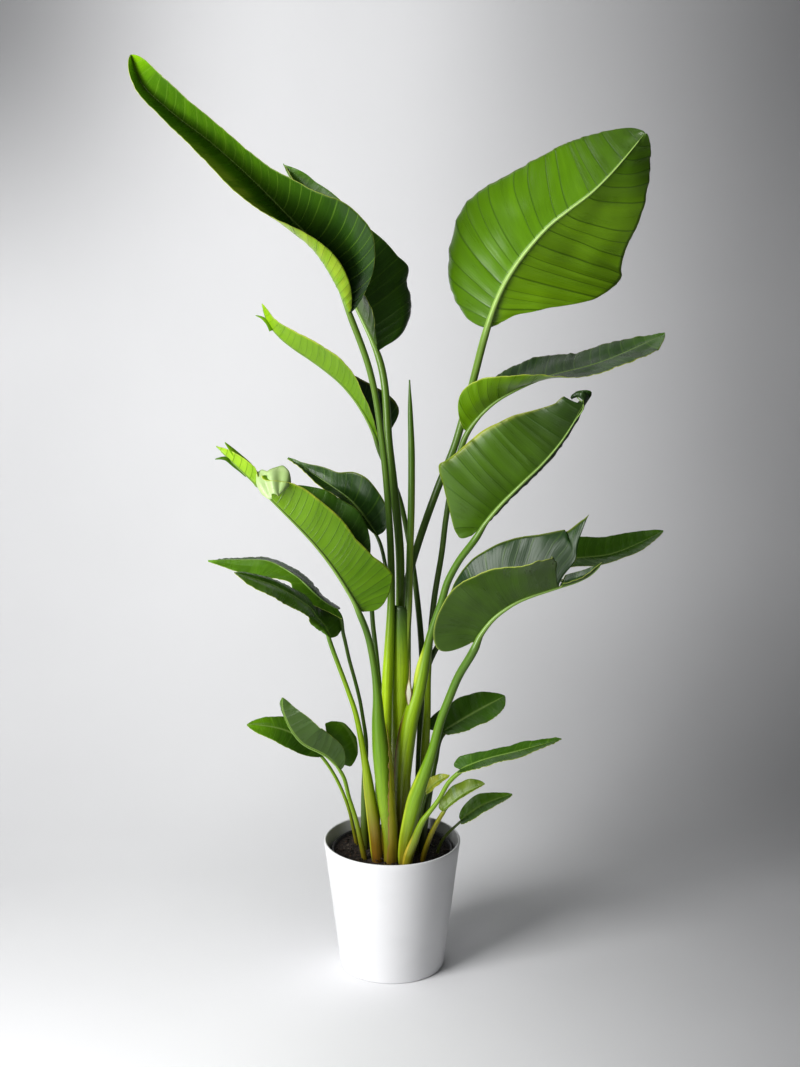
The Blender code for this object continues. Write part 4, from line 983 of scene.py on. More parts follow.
@dataclass(frozen=True)
class PlainFinish:
    """A moulded, glazed or cut surface with a slight unevenness of colour and gloss."""

    name: str
    colour: Colour
    worn: Colour
    roughness: float
    grain: float
    relief: float

    UNEVENNESS = 0.10
    DEPTH = 0.0004

    def material(self, wear: bpy.types.NodeTree) -> Material:
        """Builds the material.

        Args:
            wear: The wear group.

        Returns:
            The finished material.
        """
        made, g, shader = start_material(self.name)
        group = g.add("Group", node_tree=wear)
        group.inputs["Grain"].default_value = self.grain
        grit = group.outputs["Grit"]
        colour = g.blend(group.outputs["Worn"], self.colour, self.worn)
        rough = g.plus(self.roughness - self.UNEVENNESS / 2, g.times(grit, self.UNEVENNESS))
        normal = g.bump(grit, self.relief, self.DEPTH)
        g.feed(shader, {"Base Color": colour, "Roughness": rough, "Normal": normal})
        return made


@dataclass(frozen=True)
class SoilFinish:
    """Damp potting mix: dark crumbs with paler fibres."""

    name: str
    dark: Colour
    light: Colour

    FLECK = (0.30, 0.24, 0.17, 1.0)
    ROUGHNESS = 0.9
    RELIEF, DEPTH = 0.9, 0.003

    def material(self, crumbs: bpy.types.NodeTree) -> Material:
        """Builds the material.

        Args:
            crumbs: The crumb group.

        Returns:
            The finished material.
        """
        made, g, shader = start_material(self.name)
        mask = g.add("Group", node_tree=crumbs).outputs
        colour = g.blend(mask["Flecks"], g.blend(mask["Pale"], self.dark, self.light), self.FLECK)
        normal = g.bump(mask["Height"], self.RELIEF, self.DEPTH)
        g.feed(shader, {"Base Color": colour, "Roughness": self.ROUGHNESS, "Normal": normal})
        return made


# ---------------------------------------- pieces

Shape = Callable[[float, float, float, Vector], float]
Paint = Callable[[float, float, Vector], Colour]
BLADE_LAYERS = ("share", "upper_tone", "under_tone", "ripe", "phase", "veins")


def smooth_mesh(name: str, form: bmesh.types.BMesh, materials: list[Material]) -> bpy.types.Object:
    """Turns a finished bmesh into a smooth object.

    Args:
        name: The object's name.
        form: The finished bmesh, which is freed.
        materials: Its materials in slot order.

    Returns:
        The new object.
    """
    mesh = bpy.data.meshes.new(name)
    form.to_mesh(mesh)
    form.free()
    mesh.polygons.foreach_set("use_smooth", [True] * len(mesh.polygons))
    for made in materials:
        mesh.materials.append(made)
    piece = bpy.data.objects.new(name, mesh)
    bpy.context.scene.collection.objects.link(piece)
    return piece


def add_piece(
    name: str, form: bmesh.types.BMesh, materials: list[Material], slot: Slot, *nodes: str
) -> bpy.types.Object:
    """Adds a piece that rides on the plant and stands for CAD nodes.

    Args:
        name: The piece's name.
        form: The finished bmesh, which is freed.
        materials: Its materials in slot order.
        slot: The record's slot for its finish; not used.
        nodes: The CAD nodes it stands for.

    Returns:
        The piece's object.
    """
    piece = smooth_mesh(name, form, materials)
    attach(piece, BODY)
    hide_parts(*nodes)
    LOG.info("%s: %d faces", name, len(piece.data.polygons))
    return piece


def thicken(piece: bpy.types.Object, thickness: float, finished: bool = True) -> None:
    """Makes a sheet solid.

    Args:
        piece: The sheet.
        thickness: How thick it becomes, half to each side.
        finished: Whether its back and rim take its second and third material.
    """
    solid = piece.modifiers.new("thickness", "SOLIDIFY")
    solid.thickness = thickness
    solid.offset = 0.0
    solid.material_offset, solid.material_offset_rim = (1, 2) if finished else (0, 0)


def new_grid(rows: int, columns: int) -> bmesh.types.BMesh:
    """Makes a flat grid from -1 to 1.

    Args:
        rows: The faces along x.
        columns: The faces across y.

    Returns:
        The grid's bmesh.
    """
    form = bmesh.new()
    bmesh.ops.create_grid(form, x_segments=rows, y_segments=columns, size=1.0)
    return form


def blade_layers(form: bmesh.types.BMesh) -> tuple[object, list[object]]:
    """Adds the map and the value layers that the blade finishes read."""
    return form.loops.layers.uv.new("blade"), [form.verts.layers.float.new(name) for name in BLADE_LAYERS]


class BladeForm:
    """The surface of one blade: a midrib route, and two halves folded and curled about it."""

    FRAMES = 240
    LOW, HIGH = -0.3, 1.7
    STEPS = 24

    def __init__(self, leaf: Leaf) -> None:
        """Works out the midrib's frames once, so that points can be read off quickly.

        Args:
            leaf: The leaf whose blade this is.
        """
        self.leaf = leaf
        self.profiles: dict[tuple[float, bool], list[Pair]] = {}
        self.route = Route(list(leaf.blade))
        self.faces = [Vector(direction).normalized() for direction in leaf.face]
        self.widest = leaf.fullness / (leaf.fullness + leaf.taper)
        self.fullest = self.widest**leaf.fullness * (1 - self.widest) ** leaf.taper
        rows = [mix(self.LOW, self.HIGH, i / self.FRAMES) for i in range(self.FRAMES + 1)]
        self.table = [self.true_frame(along) for along in rows]

    def true_frame(self, along: float) -> tuple[Vector, Vector, Vector]:
        """The midrib point, the way the blade faces there, and its right-hand side."""
        return self.route.frame(along, self.faces[0].lerp(self.faces[1], min(max(along, 0.0), 1.0)))

    def frame(self, along: float) -> tuple[Vector, Vector, Vector]:
        """Reads the same frame off the table.

        Args:
            along: The share of the midrib's length.

        Returns:
            The point, the face and the side there.
        """
        place = (along - self.LOW) / (self.HIGH - self.LOW) * self.FRAMES
        low = min(max(int(place), 0), self.FRAMES - 1)
        return tuple(a.lerp(b, place - low) for a, b in zip(self.table[low], self.table[low + 1]))

    def outline(self, run: float) -> float:
        """The plain paddle outline at a share of the run: 1 where the blade is widest."""
        return run**self.leaf.fullness * (1 - run) ** self.leaf.taper / self.fullest

    def margin(self, run: float, half: Half) -> Pair:
        """Measures one half of the blade.

        Args:
            run: The share of its margin's run.
            half: The half.

        Returns:
            Its width there, and how far along the midrib its margin is.
        """
        plain = self.outline(run)
        read = soft_stations if half.torn == 1.0 else read_stations
        factor, *carry = read(half.edge, run)
        reach = run + sum(carry)
        if run < self.widest:
            reach -= half.lobe * sin(pi * plain)
        full = plain * factor
        if run > half.torn:
            full = min(full, half.strip * (1 - ((run - half.torn) / (1 - half.torn)) ** 3))
        return max(self.leaf.half_width * full, LEAST_WIDTH), reach

    def profile(self, run: float, half: Half) -> list[Pair]:
        """Works out a half's cross-section, once for each run.

        Args:
            run: The share of its margin's run.
            half: The half.

        Returns:
            (out, up) points from the midrib to the margin.
        """
        key = (round(run, 6), half is self.leaf.right)
        if key in self.profiles:
            return self.profiles[key]
        width, _ = self.margin(run, half)
        settled = smooth(run / SETTLE_RUN)
        fold = mix(half.fold_base, half.fold_tip, settled)
        curl = mix(half.curl_base, half.curl_tip, settled)
        start, turn = soft_stations(half.roll, run)
        out, up, points = 0.0, 0.0, [(0.0, 0.0)]
        for step in range(self.STEPS):
            share = (step + 0.5) / self.STEPS
            angle = radians(fold + curl * share + turn * max(0.0, (share - start) / (1 - start)))
            out += width * cos(angle) / self.STEPS
            up += width * sin(angle) / self.STEPS
            points.append((out, up))
        self.profiles[key] = points
        return points

    def place(self, run: float, across: float) -> Vector:
        """Finds a point of the surface.

        Args:
            run: The share of the margin's run.
            across: From -1 at the left margin to 1 at the right.

        Returns:
            The point.
        """
        leaf = self.leaf
        half = leaf.right if across >= 0 else leaf.left
        share = abs(across)
        width, reach = self.margin(run, half)
        points = self.profile(run, half)
        low = min(int(share * self.STEPS), self.STEPS - 1)
        out, up = (mix(a, b, share * self.STEPS - low) for a, b in zip(points[low], points[low + 1]))
        up += leaf.ripple * share**2 * sin(2 * pi * leaf.waves * run) * (width / leaf.half_width)
        origin, face, side = self.frame(mix(run**VEIN_LAG, reach, share**VEIN_BEND))
        return origin + side * (out if across >= 0 else -out) + face * up


class LeafBlade:
    """One blade: a fine grid on its form, pleated along its side veins, with both sides finished."""

    BIG = (168, 48)
    SMALL = (96, 28)
    SMALL_WIDTH = 0.046
    THICKNESS = 0.0008
    HINGE = 0.06
    # What sets the noise of the left half apart from the right's.
    OTHER_HALF = 7.3
    # How unevenly the side veins are spaced, and how often that changes along the blade.
    WANDER, WANDER_RATE = 0.9, 9.0
    # How often the pleats' strength, the buckle and the two waves of the ruffle change.
    STRENGTH_RATE, BUCKLE_RATE, FRILL_RATES = 14.0, 16.0, (30.0, 75.0)
    # The pleats' least strength and how much it varies, and the shape of one pleat.
    LEAST_STRENGTH, STRENGTH_RANGE, PLEAT_POWER, PLEAT_MIDDLE = 0.4, 0.9, 0.7, 0.6
    # How steeply the pleats rise from the midrib and fade to the tip, and the buckle rises.
    PLEAT_RISE, PLEAT_FADE, BUCKLE_RISE = 6.0, 12.0, 2.0
    # How steeply one half's tones give way to the other's across the midrib.
    TONE_CHANGE = 8.0

    def __init__(self, leaf: Leaf, seed: int) -> None:
        """Picks the grid for the size of the leaf.

        Args:
            leaf: The leaf whose blade this is.
            seed: Sets its uneven details apart from other blades'.
        """
        self.leaf = leaf
        self.form = BladeForm(leaf)
        self.seed = seed
        self.rows, self.columns = self.SMALL if leaf.half_width < self.SMALL_WIDTH else self.BIG

    def uneven(self, along: float, across: float, kind: float) -> float:
        """One kind of slow noise along the blade, different for each half."""
        side = self.seed + (0.0 if across >= 0 else self.OTHER_HALF)
        return noise.noise(Vector((along, side, kind)))

    def phase(self, run: float, across: float) -> float:
        """The count of main side veins up to a share of the run, unevenly spaced."""
        count = run * self.form.route.length / self.leaf.look.spacing
        return count + self.WANDER * self.uneven(run * self.WANDER_RATE, across, 0.0)

    def relief(self, run: float, across: float, place: Vector) -> float:
        """Adds up the pleats, a slow buckle and a ruffled margin.

        Args:
            run: The share of the margin's run.
            across: From -1 at the left margin to 1 at the right.
            place: The point of the plain form.

        Returns:
            How far the surface stands off the plain form.
        """
        look = self.leaf.look
        share = abs(across)
        varied = abs(self.uneven(run * self.STRENGTH_RATE, across, 4.0))
        strength = self.LEAST_STRENGTH + self.STRENGTH_RANGE * varied
        wave = abs(sin(pi * self.phase(run, across))) ** self.PLEAT_POWER - self.PLEAT_MIDDLE
        held = smooth(share * self.PLEAT_RISE) * smooth((1.0 - run) * self.PLEAT_FADE)
        pleat = look.pleat * strength * wave * held
        shift = Vector((self.seed, 0.0, 0.0))
        slow_wave = noise.noise(place * self.BUCKLE_RATE + shift)
        buckle = look.buckle * slow_wave * smooth(share * self.BUCKLE_RISE)
        slow, quick = (run * rate for rate in self.FRILL_RATES)
        frill = self.uneven(slow, across, 9.0) + 0.5 * self.uneven(quick, across, 2.0)
        return pleat + buckle + look.ruffle * frill * share**5

    def is_torn(self, corners: list[Pair]) -> bool:
        """Tells whether a face is torn through.

        Args:
            corners: The (run, across) of each corner.

        Returns:
            Whether it spans the tear of its half, clear of the midrib.
        """
        across = sum(corner[1] for corner in corners) / len(corners)
        half = self.leaf.right if across >= 0 else self.leaf.left
        runs = [corner[0] for corner in corners]
        return min(runs) <= half.torn < max(runs) and abs(across) > self.HINGE

    def values(self, run: float, across: float) -> tuple[float, ...]:
        """Works out what the finishes read.

        Args:
            run: The share of the margin's run.
            across: From -1 at the left margin to 1 at the right.

        Returns:
            The values, in the order of the blade's layers.
        """
        look = self.leaf.look
        side = smooth(across * self.TONE_CHANGE + 0.5)
        share = abs(across)
        upper, under, ripe = (side_stations(rows, run, side) for rows in (look.upper, look.under, look.ripe))
        reach = smooth((share - look.ripe_from) / (1.001 - look.ripe_from) + 0.5)
        return share, upper, under, ripe * reach, self.phase(run, across), look.veins

    def build(self, finishes: list[Material]) -> bpy.types.Object:
        """Builds the blade.

        Args:
            finishes: The materials of its upper side, its underside and its cut edge.

        Returns:
            The blade's object.
        """
        grid = new_grid(self.rows, self.columns)
        bmesh.ops.reverse_faces(grid, faces=grid.faces)
        uv, layers = blade_layers(grid)
        length = self.form.route.length
        at: dict[int, Pair] = {}
        for vert in grid.verts:
            # The rows crowd together towards the base and the tip.
            run, across = (1 - cos(pi * (vert.co.x + 1) / 2)) / 2, vert.co.y
            at[vert.index] = (run, across)
            for layer, value in zip(layers, self.values(run, across)):
                vert[layer] = value
            for loop in vert.link_loops:
                loop[uv].uv = (run * length, across * self.leaf.half_width)
            vert.co = self.form.place(run, across)
        torn = [face for face in grid.faces if self.is_torn([at[vert.index] for vert in face.verts])]
        grid.normal_update()
        shifts = [(vert, vert.normal * self.relief(*at[vert.index], vert.co)) for vert in grid.verts]
        for vert, shift in shifts:
            vert.co += shift
        bmesh.ops.delete(grid, geom=torn, context="FACES")
        name = self.leaf.name.replace("leaf", "blade")
        piece = add_piece(name, grid, finishes, self.leaf.slot, self.leaf.name + "_blade")
        thicken(piece, self.THICKNESS)
        return piece


@dataclass(frozen=True)
class Sheath:
    """A thin leaf base that wraps round a stem, open along one side.

    The stations give (x, y, z, radius) of its middle line. Its two margins are angles round that
    line from the viewer's side, as (share of the height, left, right) stations, and are ragged by
    so many degrees. The tints are (share, red, green, blue) stations. Past a share of the half
    width they give way to the margins' own.
    """

    name: str
    stations: Stations
    margins: Stations
    tints: Stations
    left_tint: Colour
    right_tint: Colour
    nodes: tuple[str, ...] = ()
    slot: Slot = Slot.SHEATH
    ragged: float = 0.0
    edge_from: float = 0.84
    seed: int = 1

    ROWS, COLUMNS = 70, 30
    THICKNESS = 0.0009
    # How often the raggedness changes, and how steeply the tints give way to the margin's.
    RAGGED_RATE, TINT_CHANGE = 24.0, 9.0

    def build(self, finish: Material) -> bpy.types.Object:
        """Builds the sheath.

        Args:
            finish: The stem's material.

        Returns:
            The sheath's object.
        """
        run = StemRun(self.stations)
        shell = new_grid(self.ROWS, self.COLUMNS)
        uv = shell.loops.layers.uv.new("stem")
        layer = shell.verts.layers.float_color.new("tint")
        for vert in shell.verts:
            height, across = (vert.co.x + 1) / 2, (vert.co.y + 1) / 2
            for loop in vert.link_loops:
                loop[uv].uv = (height * run.route.length, across)
            out = abs(across - 0.5) * 2
            torn = self.ragged * noise.noise(Vector((height * self.RAGGED_RATE, self.seed, across * 2.0)))
            angle = radians(mix(*soft_stations(self.margins, height), across) + torn * out**6) - pi / 2
            margin = self.left_tint if across < 0.5 else self.right_tint
            edge = smooth((out - self.edge_from) * self.TINT_CHANGE)
            vert[layer] = Vector(mix_colour(read_colour(self.tints, height), margin, edge))
            vert.co = run.route.at(height) + Vector((cos(angle), sin(angle), 0.0)) * run.thickness(height)
        bmesh.ops.recalc_face_normals(shell, faces=shell.faces)
        piece = add_piece(self.name, shell, [finish], self.slot, *self.nodes)
        thicken(piece, self.THICKNESS, finished=False)
        return piece


SHEATHS = (
    Sheath(
        "dry_leaf_base", nodes=("front_sheath",), ragged=12, seed=5, left_tint=(0.22, 0.13, 0.03, 1),
        right_tint=(0.62, 0.44, 0.08, 1),
        stations=((-0.004, -0.062, 0.216, 0.014), (-0.004, -0.062, 0.268, 0.0146),
            (-0.01, -0.062, 0.344, 0.0164), (-0.018, -0.06, 0.439, 0.0172), (-0.024, -0.06, 0.487, 0.0145)),
        margins=((0, -25, 130), (0.4, 4, 124), (0.8, 45, 105), (1, 76, 86)),
        tints=((0, 0.16, 0.09, 0.012), (0.4, 0.36, 0.34, 0.016), (1, 0.52, 0.56, 0.03)),
    ),
    Sheath(
        "spear_leaf_base", slot=Slot.STEM, ragged=5, edge_from=0.94, seed=8,
        left_tint=(0.24, 0.42, 0.008, 1), right_tint=(0.16, 0.28, 0.008, 1),
        stations=((0.017, 0.006, 0.215, 0.017), (0.0165, 0.006, 0.42, 0.017), (0.017, 0.005, 0.56, 0.0168),
            (0.0178, 0.005, 0.64, 0.016), (0.019, 0.006, 0.69, 0.015)),
        margins=((0, -112, 112), (0.9, -112, 110), (0.96, -108, 64), (1, -104, 0)),
        # The lower tints are light: partly the base's own pale colour, partly painted light where the stems
        # in front shade it.
        tints=((0, 0.26, 0.2, 0.006), (0.3, 0.4, 0.44, 0.004), (0.6, 0.42, 0.6, 0.006),
            (0.76, 0.36, 0.54, 0.006), (0.9, 0.11, 0.22, 0.01), (1, 0.025, 0.06, 0.01)),
    ),
    Sheath(
        "papery_tear", ragged=5, edge_from=0.5, seed=13, left_tint=(0.12, 0.08, 0.02, 1),
        right_tint=(0.14, 0.1, 0.02, 1),
        stations=((0.035, -0.025, 0.509, 0.0125), (0.0345, -0.025, 0.536, 0.013),
            (0.035, -0.026, 0.562, 0.0125), (0.0335, -0.026, 0.6, 0.013)),
        margins=((0, -22, -18), (0.15, -42, -4), (0.3, -56, 14), (0.45, -44, 0), (0.58, -26, -16),
            (0.8, -16, -12), (1, -13, -11)),
        tints=((0, 0.24, 0.15, 0.05), (0.12, 0.52, 0.5, 0.38), (0.45, 0.6, 0.6, 0.48),
            (0.58, 0.44, 0.38, 0.16), (1, 0.4, 0.34, 0.14)),
    ),
)


@dataclass(frozen=True)
class Flap:
    """A torn or rolled piece of a blade: a narrow strip of it along a run, curled across.

    The widths are (run, half width) stations. The curl is the angle that the strip turns through
    across, and the wave a rise and fall along it.
    """

    name: str
    points: tuple[Point, ...]
    widths: Stations
    face: Point
    curl: float
    tones: Pair
    slot: Slot = Slot.LEAF_FRESH
    wave: float = 0.0
    waves: float = 0.0
    # Whether both sides take the pale finish, which is partly painted glare.
    pale_and_glare: bool = False

    ROWS, COLUMNS = 48, 16
    THICKNESS = 0.0008
    # Where the strip lies on the blade's map, the side veins along it, and how plainly they show.
    MAP_START, VEINS, VEIN_SHARE = 0.02, 3.0, 0.3

    def build(self, finishes: list[Material]) -> bpy.types.Object:
        """Builds the strip.

        Args:
            finishes: The materials of its outer side, its back and its cut edge.

        Returns:
            The strip's object.
        """
        route = Route(list(self.points))
        strip = new_grid(self.ROWS, self.COLUMNS)
        uv, layers = blade_layers(strip)
        for vert in strip.verts:
            run, across = (vert.co.x + 1) / 2, vert.co.y
            width = soft_stations(self.widths, run)[0]
            for loop in vert.link_loops:
                loop[uv].uv = (run * route.length, self.MAP_START + across * width)
            tone = mix(*self.tones, run)
            values = (abs(across), tone, tone, 0.0, self.VEINS * run + across, self.VEIN_SHARE)
            for layer, value in zip(layers, values):
                vert[layer] = value
            origin, face, side = route.frame(run, Vector(self.face))
            turn = radians(self.curl) * across / 2
            radius = 2 * width / radians(self.curl)
            shift = self.wave * sin(2 * pi * self.waves * run) * (1 - across**2 / 2)
            vert.co = origin + side * radius * sin(turn) + face * (radius * (cos(turn) - 1) + shift)
        strip.normal_update()
        middle = min(strip.faces, key=lambda face: face.calc_center_median().length_squared)
        if middle.normal.dot(Vector(self.face)) < 0:
            bmesh.ops.reverse_faces(strip, faces=strip.faces)
        piece = add_piece(self.name, strip, finishes, self.slot)
        thicken(piece, self.THICKNESS)
        return piece


FLAPS = (
    Flap(
        "left_blade_4_cuff", face=(-0.22, -0.84, 0.5), curl=34, tones=(0.7, 0.52), wave=0.0024, waves=2.6,
        pale_and_glare=True,
        points=((-0.224, -0.13, 0.931), (-0.208, -0.137, 0.944), (-0.188, -0.139, 0.948),
            (-0.17, -0.134, 0.94)),
        widths=((0, 0.012), (0.12, 0.027), (0.26, 0.029), (0.38, 0.021), (0.54, 0.024), (0.72, 0.029),
            (0.86, 0.02), (1, 0.004)),
    ),
    Flap(
        "left_blade_4_strip", face=(0.35, -0.8, 0.45), curl=70, tones=(0.74, 0.84),
        points=((-0.222, -0.104, 0.934), (-0.246, -0.106, 0.967), (-0.266, -0.108, 0.99),
            (-0.281, -0.11, 1.007)),
        widths=((0, 0.01), (0.4, 0.011), (0.8, 0.005), (1, 0.0008)),
    ),
    Flap(
        "left_blade_4_curl", face=(-0.2, -0.6, 0.75), curl=90, tones=(0.45, 0.6), slot=Slot.LEAF,
        points=((-0.244, -0.102, 0.95), (-0.266, -0.105, 0.97), (-0.282, -0.108, 0.98),
            (-0.298, -0.11, 0.978)),
        widths=((0, 0.006), (0.4, 0.007), (0.8, 0.004), (1, 0.0008)),
    ),
    Flap(
        "left_blade_3_strip", face=(0.1, -0.6, 0.75), curl=80, tones=(0.75, 0.88),
        points=((-0.21, 0.079, 1.17), (-0.22, 0.078, 1.187), (-0.229, 0.078, 1.193), (-0.239, 0.078, 1.196)),
        widths=((0, 0.006), (0.5, 0.005), (1, 0.0008)),
    ),
    Flap(
        "left_blade_9_fold", face=(0.35, -0.8, 0.4), curl=40, tones=(0.6, 0.54), slot=Slot.LEAF_DEEP,
        points=((-0.118, -0.058, 0.487), (-0.096, -0.05, 0.466), (-0.082, -0.046, 0.437),
            (-0.074, -0.044, 0.402)),
        widths=((0, 0.001), (0.08, 0.01), (0.3, 0.024), (0.6, 0.029), (0.85, 0.02), (0.96, 0.009),
            (1, 0.001)),
    ),
)


class StemRun:
    """The run of a stem through (x, y, z, radius) stations, and the tube that follows it."""

    BLUR = 0.012
    LEAST_ROWS = 8

    def __init__(self, stations: Stations) -> None:
        """Finds the route and the radius along it.

        Args:
            stations: (x, y, z, radius) rows in order.
        """
        self.route = Route([station[:3] for station in stations])
        shares = [mark / self.route.length for mark in self.route.marks]
        self.widths = tuple((share, station[3]) for share, station in zip(shares, stations))

    def thickness(self, share: float) -> float:
        """The radius at a share of the run, with the corners between stations eased a little."""
        reads = [read_stations(self.widths, share + self.BLUR * k)[0] for k in (-1, 0, 1)]
        return sum(reads) / 3

    def tube(self, step: float, around: int, radius: Shape, tint: Paint) -> bmesh.types.BMesh:
        """A closed tube along the run, painted and mapped.

        Args:
            step: The length of one ring of faces.
            around: The number of faces round it.
            radius: Gives the radius from (share, turn, plain radius, middle point).
            tint: Gives the colour from (share, turn, middle point).

        Returns:
            The tube's bmesh, with a "stem" map and a "tint" colour layer.
        """
        rows = max(self.LEAST_ROWS, round(self.route.length / step))
        form = new_grid(rows, around)
        uv = form.loops.layers.uv.new("stem")
        layer = form.verts.layers.float_color.new("tint")
        frames = [self.route.frame(0.0, Vector((0.0, -1.0, 0.0)))]
        for row in range(1, rows + 1):
            frames.append(self.route.frame(row / rows, frames[-1][1]))
        for vert in form.verts:
            share, turn = (vert.co.x + 1) / 2, (vert.co.y + 1) / 2
            for loop in vert.link_loops:
                loop[uv].uv = (share * self.route.length, turn)
            centre, out, side = frames[round(share * rows)]
            degrees = turn * 360.0 - 180.0
            reach = radius(share, degrees, self.thickness(share), centre)
            vert[layer] = Vector(tint(share, degrees, centre))
            vert.co = centre + (out * cos(radians(degrees)) + side * sin(radians(degrees))) * reach
        bmesh.ops.remove_doubles(form, verts=form.verts, dist=MERGE)
        bmesh.ops.holes_fill(form, edges=[edge for edge in form.edges if edge.is_boundary])
        bmesh.ops.recalc_face_normals(form, faces=form.faces)
        return form


class LeafStem:
    """One leaf stem: a tube from the soil to the collar that runs on as the raised midrib."""

    STEP, AROUND = 0.006, 40
    # The midrib: its radius at the tip, how it thins, how deep it is sunk by RIB_SINK of its run,
    # and where its stations are.
    RIB_TIP, RIB_POWER, RIB_DEPTH, RIB_SINK = 0.0007, 0.7, 0.50, 0.2
    RIB_ROWS = (0.0, 0.05, 0.12, 0.2, 0.3, 0.4, 0.5, 0.6, 0.7, 0.8, 0.9, 0.97)
    # How far before the collar the midrib's colour starts, and the share of the run it takes.
    RIB_TINT_LEAD, RIB_TINT_FADE = 0.02, 0.06
    # The clasping edges: how their tint and their lip fade in and out, and the lip's rise and fall.
    TINT_FADES, LIP_FADES = (0.02, 0.03), (0.03, 0.05)
    LIP_LEAD, LIP_RISE, LIP_FALL = 8.0, 12.0, 110.0

    def __init__(self, leaf: Leaf, blade: BladeForm) -> None:
        """Lays the stem's run.

        Args:
            leaf: The leaf whose stem this is.
            blade: The form of its blade.
        """
        self.leaf = leaf
        self.blade = blade
        self.run = StemRun(self.lay())
        self.collar = self.run.route.marks[len(leaf.stem)] / self.run.route.length

    def lay(self) -> Stations:
        """Goes on from the leaf's own stations under its midrib.

        Returns:
            (x, y, z, radius) stations from the soil to the end of the midrib.
        """
        leaf = self.leaf
        made = list(leaf.stem)
        for row in self.RIB_ROWS:
            radius = leaf.collar
            if row > 0.0:
                radius = mix(leaf.collar * leaf.look.rib, self.RIB_TIP, row**self.RIB_POWER)
            origin, face, _ = self.blade.true_frame(row)
            sunk = mix(1.0, self.RIB_DEPTH, smooth(row / self.RIB_SINK))
            made.append((*(origin - face * radius * sunk), radius))
        return tuple(made)

    def tint(self, share: float, turn: float, place: Vector) -> Colour:
        """Mixes the stem's colour with its clasping edges' and the midrib's.

        Args:
            share: The share of the run.
            turn: The angle round it.
            place: The middle point there.

        Returns:
            The colour.
        """
        look = self.leaf.look
        colour = read_colour(look.stem, place.z)
        for wrap in look.wraps:
            near = 1.0 - abs((turn - wrap.turn + 180.0) % 360.0 - 180.0) / wrap.spread
            colour = mix_colour(colour, wrap.tint, smooth(near) * wrap.held(place.z, self.TINT_FADES))
        past = (share - self.collar + self.RIB_TINT_LEAD) / self.RIB_TINT_FADE
        return mix_colour(colour, look.rib_tint, smooth(past))

    def radius(self, _: float, turn: float, plain: float, place: Vector) -> float:
        """Lets the clasping edges stand off the stem.

        Args:
            turn: The angle round it.
            plain: The plain radius.
            place: The middle point there.

        Returns:
            The radius.
        """
        for wrap in self.leaf.look.wraps:
            rise = pulse((wrap.turn - turn + self.LIP_LEAD) % 360.0, self.LIP_RISE, self.LIP_FALL)
            plain += wrap.lip * rise * wrap.held(place.z, self.LIP_FADES)
        return plain

    def build(self, finish: Material) -> bpy.types.Object:
        """Builds the stem.

        Args:
            finish: The stem's material.

        Returns:
            The stem's object.
        """
        tube = self.run.tube(self.STEP, self.AROUND, self.radius, self.tint)
        name = self.leaf.name.replace("leaf", "stem")
        return add_piece(name, tube, [finish], Slot.STEM, self.leaf.name + "_stem")


class Spear:
    """The newest leaf, rolled into a spear: its outer turn ends in an edge that winds up it."""

    STEP, AROUND = 0.004, 48
    # The winding edge: its turn from base to tip, where it starts, and how far it stands off.
    TWIST, START, LIP = 210.0, 60.0, 0.0011
    # How the edge rises and falls past the seam, its middle level, and how it fades at the tip.
    RISE, FALL, MIDDLE, TIP_FADE = 14.0, 200.0, 0.4, 8.0
    # Its pale band, how plainly that shows, and where the clasped colour gives way to the free one.
    BAND_RISE, BAND_FALL, BAND_SHARE = 10.0, 90.0, 0.8
    CLASP_TOP, CLASP_FADE = 0.60, 0.10
    CLASPED = (0.30, 0.46, 0.010, 1.0)
    FREE = (0.065, 0.140, 0.010, 1.0)
    EDGE = (0.34, 0.46, 0.060, 1.0)

    def seam(self, share: float, turn: float) -> float:
        """How far past the winding edge an angle lies."""
        return (self.TWIST * share - self.START - turn) % 360.0

    def radius(self, share: float, turn: float, plain: float, _: Vector) -> float:
        """The radius: the outer turn stands off the roll along its edge."""
        rise = pulse(self.seam(share, turn), self.RISE, self.FALL)
        return plain + self.LIP * (rise - self.MIDDLE) * smooth((1.0 - share) * self.TIP_FADE)

    def tint(self, share: float, turn: float, place: Vector) -> Colour:
        """Mixes a colour that is pale along the edge and lighter where the spear is clasped.

        Args:
            share: The share of the run.
            turn: The angle round it.
            place: The middle point there.

        Returns:
            The colour.
        """
        plain = mix_colour(self.CLASPED, self.FREE, smooth((place.z - self.CLASP_TOP) / self.CLASP_FADE))
        band = pulse(self.seam(share, turn), self.BAND_RISE, self.BAND_FALL)
        return mix_colour(plain, self.EDGE, band * self.BAND_SHARE)

    def build(self, finish: Material) -> bpy.types.Object:
        """Builds the spear, in the stems' material."""
        tube = StemRun(SPEAR).tube(self.STEP, self.AROUND, self.radius, self.tint)
        return add_piece("rolled_spear", tube, [finish], Slot.STEM, "spear")


